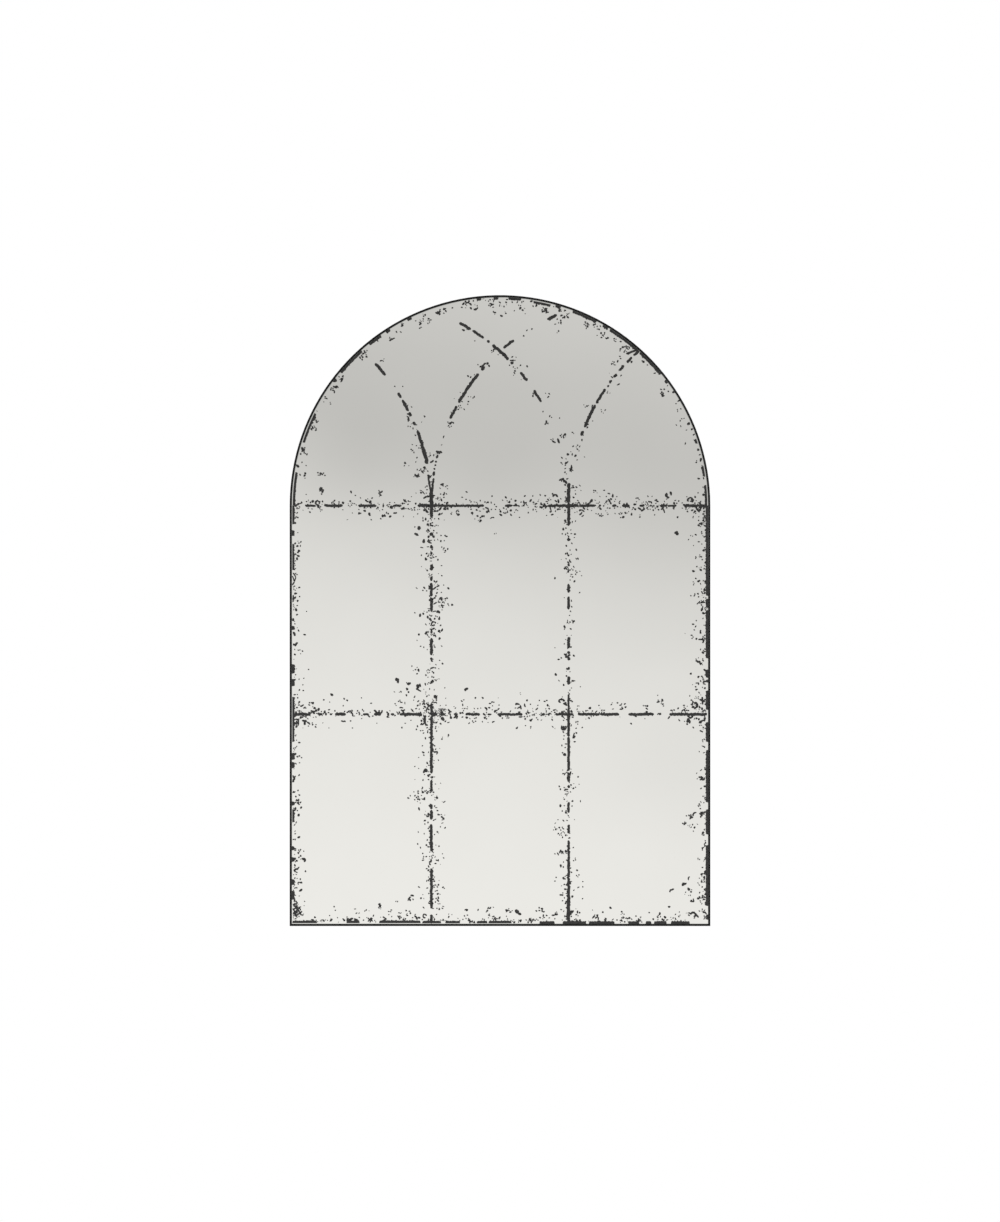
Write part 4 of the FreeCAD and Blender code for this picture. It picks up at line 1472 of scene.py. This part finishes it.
@dataclass
class WeldBeads:
    """Short rippled beads that join the tabs and gussets to the bars, on their rear side."""

    radius: float = 1.9 * MM
    ripple: float = 0.22 * MM
    pitch: float = 1.7 * MM
    rings_per_pitch: int = 6
    end: float = 1e-4
    around: int = 14
    bar: float = 3 * MM
    arch_tabs: int = 7
    gusset_bead: float = 16 * MM
    gusset_places: Range = (10 * MM, 38 * MM)

    def shares(self, length: float) -> Array:
        """The places of a bead's rings, as shares of its length."""
        return np.linspace(0.0, 1.0, int(length / (self.pitch / self.rings_per_pitch)))

    def bead(self, length: float, path: Array, inward: Array) -> Array:
        """A bead along a path.

        A point is the path plus a circle of the bead's radius in the plane of the inward direction and
        the rearward one. The radius swells and shrinks once in each pitch and closes at both ends as a
        circle does.

        Args:
            length: how long the bead is.
            path: the middle of each ring.
            inward: at each ring, the direction away from the bar.

        Returns:
            Ring by corner by x, y and z.
        """
        distance = self.shares(length) * length
        close = rounded(np.minimum(distance, length - distance) / self.radius, self.end)
        swell = self.radius + self.ripple * np.abs(np.sin(np.pi * distance / self.pitch))
        turn = np.arange(self.around)[:, None] * 2 * np.pi / self.around
        ring = np.cos(turn) * inward[:, None, :] + np.sin(turn) * np.array([0.0, 1.0, 0.0])
        return path[:, None, :] + (close * swell)[:, None, None] * ring

    def arched(self, centre: Array, radius: float, start: float, end: float) -> Array:
        """A bead on the inside of the arch. A ring's middle is the centre plus radius by cosine and sine.

        Args:
            centre: the arch's centre, at the tabs' rear face.
            radius: the arch's inner radius.
            start: the angle at which the bead starts.
            end: the angle at which it ends.

        Returns:
            The bead's rings.
        """
        length = radius * (end - start)
        turn = start + (end - start) * self.shares(length)
        outward = np.stack([np.cos(turn), np.zeros_like(turn), np.sin(turn)], -1)
        return self.bead(length, centre + radius * outward, -outward)

    def straight(self, start: Point, end: Point, inward: Point) -> Array:
        """A bead between two points. A ring's middle is the start plus its share of the way to the end.

        Args:
            start: where it starts.
            end: where it ends.
            inward: the direction away from the bar.

        Returns:
            The bead's rings.
        """
        first, last = np.array(start), np.array(end)
        length = float(np.linalg.norm(last - first))
        share = self.shares(length)[:, None]
        return self.bead(length, first + share * (last - first), np.tile(np.array(inward), (len(share), 1)))

    def beads(self) -> list[Array]:
        """Every bead: along the arch's tabs, the side tabs, the foot's tabs and the gussets.

        Returns:
            Each bead's rings.
        """
        low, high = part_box("frame_arch_bar")
        radius = high.x - self.bar
        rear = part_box("arch_tab_1")[1].y
        centre = np.array([0.0, rear, low.z])
        half = (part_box("left_tab_1")[1].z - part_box("left_tab_1")[0].z) / 2 / radius
        middles = math.pi * np.arange(self.arch_tabs) / (self.arch_tabs - 1)
        made = [self.arched(centre, radius, max(turn - half, 0.0), turn + half) for turn in middles]
        for tab in ("left_tab_1", "left_tab_2", "right_tab_1", "right_tab_2"):
            low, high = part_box(tab)
            side = -1.0 if tab.startswith("left") else 1.0
            x = side * radius
            made.append(self.straight((x, rear, low.z), (x, rear, high.z), (-side, 0.0, 0.0)))
        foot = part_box("bottom_tab_1")[0].z
        up = (0.0, 0.0, 1.0)
        for tab in ("bottom_tab_1", "bottom_tab_2"):
            low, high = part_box(tab)
            made.append(self.straight((low.x, rear, foot), (high.x, rear, foot), up))
        for side in (-1.0, 1.0):
            for place in self.gusset_places:
                x, z = side * radius, foot + place
                made.append(self.straight((x, rear, z), (x, rear, z + self.gusset_bead), (-side, 0.0, 0.0)))
                x = side * (radius - place)
                made.append(self.straight((x, rear, foot), (x - side * self.gusset_bead, rear, foot), up))
        return made

    def build(self, finish: Finish) -> None:
        """Joins each bead's rings with quads and closes its ends, all facing outwards.

        Args:
            finish: the frame's coat.
        """
        points, faces, used, around = [], [], 0, self.around
        corner = np.arange(around)
        after = (corner + 1) % around
        for rings in self.beads():
            count = len(rings)
            step = around * np.arange(count - 1)[:, None]
            ahead = step + around
            block = np.stack([step + corner, step + after, ahead + after, ahead + corner], -1).reshape(-1, 4)
            caps = np.stack([corner[::-1], corner + around * (count - 1)])
            middle = rings.mean(1)
            spokes = rings[count // 2, :2] - middle[count // 2]
            if float(np.dot(np.cross(*spokes), middle[-1] - middle[0])) < 0:
                block, caps = block[:, ::-1], caps[:, ::-1]
            faces += (block + used).tolist() + (caps + used).tolist()
            points.append(rings.reshape(-1, 3))
            used += rings.size // 3
        piece = shape("weld_beads", np.concatenate(points), faces, finish)
        mount(piece)
        piece.data.polygons.foreach_set("use_smooth", np.ones(len(piece.data.polygons), bool))


@dataclass
class Casework:
    """The frame, the board and what is fastened to them, dressed node by node."""

    coat: Finish = PowderCoat("powder_coat")
    glass: Finish = SilveredGlass("silvered_glass")
    board: Finish = Fibreboard("raw_fibreboard")
    foam: Finish = SoftPlastic(
        "pale_foam", (0.60, 0.60, 0.58, 1.0), (0.50, 0.50, 0.48, 1.0), 0.5 * MM, 0.85)
    rubber: Finish = SoftPlastic(
        "black_rubber", (0.016, 0.016, 0.017, 1.0), (0.040, 0.040, 0.041, 1.0), 0.3 * MM, 0.62)
    zinc: Finish = PlatedSteel("zinc_plate", (0.62, 0.63, 0.64, 1.0), (0.47, 0.48, 0.48, 1.0), 0.2)
    nickel: Finish = PlatedSteel("nickel_wire", (0.70, 0.67, 0.62, 1.0), (0.58, 0.55, 0.50, 1.0), 0.06)

    def dress(self) -> None:
        """Gives every CAD node the finish of its slot, with one material for each slot."""
        finishes = {
            Slot.FRAME_COAT: self.coat, Slot.SILVERED_GLASS: self.glass, Slot.FIBREBOARD: self.board,
            Slot.FOAM_TAPE: self.foam, Slot.PAD_RUBBER: self.rubber, Slot.BUMPER_RUBBER: self.rubber,
            Slot.ZINC_PLATE: self.zinc, Slot.NICKEL_WIRE: self.nickel,
        }
        by_slot: dict[str, list[str]] = {}
        for row in frame["record"]["subparts"]:
            by_slot.setdefault(row["material_slot"], []).append(row["node"])
        for slot, nodes in by_slot.items():
            material = finishes[Slot(slot)].make()
            for name in nodes:
                piece = frame["nodes"][name]
                if not piece.material_slots:
                    piece.data.materials.append(material)
                for place in piece.material_slots:
                    place.material = material
            LOG.info("%s on %d nodes", material.name, len(nodes))


@dataclass(frozen=True)
class SoftLamp:
    """A square lamp aimed at the middle of the mirror."""

    name: str
    place: Point
    size: float
    power: float


@dataclass
class Studio:
    """A pale floor, soft lamps, the light all round and the camera."""

    lens: float = 70.0
    sensor: float = 36.0
    eye: Point = (0.0, -4.544, 0.5992)
    aim_height: float = 0.6
    paint: PaleFloor = PaleFloor("pale_floor")
    floor_height: float = -0.95
    floor_corners: int = 96
    plain_light: float = 0.52
    tilt: float = 0.23
    silver: float = 0.868
    mirror_reach: float = 0.14
    mirror_stops: Spans = (
        (0.0, 0.840), (0.16, 0.820), (0.30, 0.790), (0.45, 0.748), (0.58, 0.670), (0.70, 0.568),
        (0.79, 0.533), (0.88, 0.556), (1.0, 0.615),
    )
    rear_start: Range = (-0.05, 0.25)
    rear_low: Range = (-0.55, -0.2)
    rear_low_tones: Range = (0.55, 0.22)
    rear_band: float = 1.15
    rear_band_rise: Range = (0.35, 0.62)
    rear_band_fall: Range = (0.78, 0.95)
    lamps: tuple[SoftLamp, ...] = (
        SoftLamp("key_lamp", (-2.0, -2.8, 2.7), 1.8, 58.0),
        SoftLamp("fill_lamp", (2.4, -2.6, 1.6), 1.8, 30.0),
        SoftLamp("rear_key_lamp", (1.8, 2.8, 2.6), 1.6, 62.0),
        SoftLamp("rear_fill_lamp", (-2.2, 2.4, 1.4), 1.6, 34.0),
    )

    def seen_in_gloss(self, graph: Graph) -> Sock:
        """What gloss sees.

        In front of the mirror it is a gradient that falls steeply about the horizon, and behind it a
        band of light over a dim one.

        Args:
            graph: the world's nodes.

        Returns:
            The tone by direction.
        """
        x, y, z = graph.axes(graph.node("ShaderNodeTexCoord", {}, {}, "Generated"))
        share = graph.node("ShaderNodeMapRange", {}, {
            "Value": z + self.tilt * x, "From Min": -self.mirror_reach, "From Max": self.mirror_reach})
        ramp = graph.node("ShaderNodeValToRGB", {"stops": self.mirror_stops}, {"Fac": share})
        before = ramp * (1.0 / self.silver)
        high = graph.spread(z, self.rear_band_rise) * graph.spread(z, self.rear_band_fall, (1.0, 0.0))
        behind = graph.spread(z, self.rear_low, self.rear_low_tones) + self.rear_band * high
        rear = graph.spread(y, self.rear_start)
        return (1.0 - rear) * before + rear * behind

    def surround(self) -> None:
        """Light all round: the camera sees white, gloss its own view, and the rest gets plain light."""
        world = bpy.data.worlds.new("studio_world")
        bpy.context.scene.world = world
        world.use_nodes = True
        graph = Graph(world.node_tree)
        ray = graph.node("ShaderNodeLightPath", {}, {}).socket.node
        camera = Sock(graph, ray.outputs["Is Camera Ray"])
        glossy = Sock(graph, ray.outputs["Is Glossy Ray"])
        other = glossy * self.seen_in_gloss(graph) + (1.0 - glossy) * self.plain_light
        light = camera + (1.0 - camera) * other
        graph.close("ShaderNodeOutputWorld", graph.node("ShaderNodeBackground", {}, {"Color": light}))

    def lay_floor(self) -> None:
        """A round floor. A point of its rim is the reach times cosine and sine."""
        turn = np.linspace(0.0, 2 * np.pi, self.floor_corners, endpoint=False)
        height = np.full_like(turn, self.floor_height)
        rim = np.stack([self.paint.reach * np.cos(turn), self.paint.reach * np.sin(turn), height], -1)
        shape("floor", rim, [list(range(self.floor_corners))], self.paint)

    def hang_lamps(self) -> None:
        """The soft lamps, each turned to the middle of the mirror."""
        target = np.array([0.0, 0.0, self.aim_height])
        for lamp in self.lamps:
            data = bpy.data.lights.new(lamp.name, "AREA")
            data.size = lamp.size
            data.energy = lamp.power
            piece = show(lamp.name, data)
            piece.location = lamp.place
            away = Vector(np.array(lamp.place) - target)
            piece.rotation_euler = away.to_track_quat("Z", "Y").to_euler()

    def set_camera(self) -> None:
        """The camera, level and square to the mirror."""
        data = bpy.data.cameras.new("camera")
        data.lens = self.lens
        data.sensor_width = self.sensor
        piece = show("camera", data)
        piece.location = self.eye
        piece.rotation_euler = (math.pi / 2, 0.0, 0.0)
        bpy.context.scene.camera = piece

    def build(self) -> None:
        """Sets the whole studio up."""
        bpy.context.scene.view_settings.view_transform = "Standard"
        self.surround()
        self.lay_floor()
        self.hang_lamps()
        self.set_camera()
        LOG.info("studio with %d lamps", len(self.lamps))


def main() -> None:
    """Builds the pieces in order."""
    logging.basicConfig(level=logging.INFO, format="%(name)s: %(message)s")
    Studio().build()
    casework = Casework()
    casework.dress()
    WeldBeads().build(casework.coat)
    face = GlassFace.of_frame()
    stain = SilverStain("silver_stain")
    for marks in (TraceryLines(), EdgeWear(), FoxingSpecks(), FoxingBlots()):
        marks.build(face, stain)


if __name__ == "__main__":
    main()
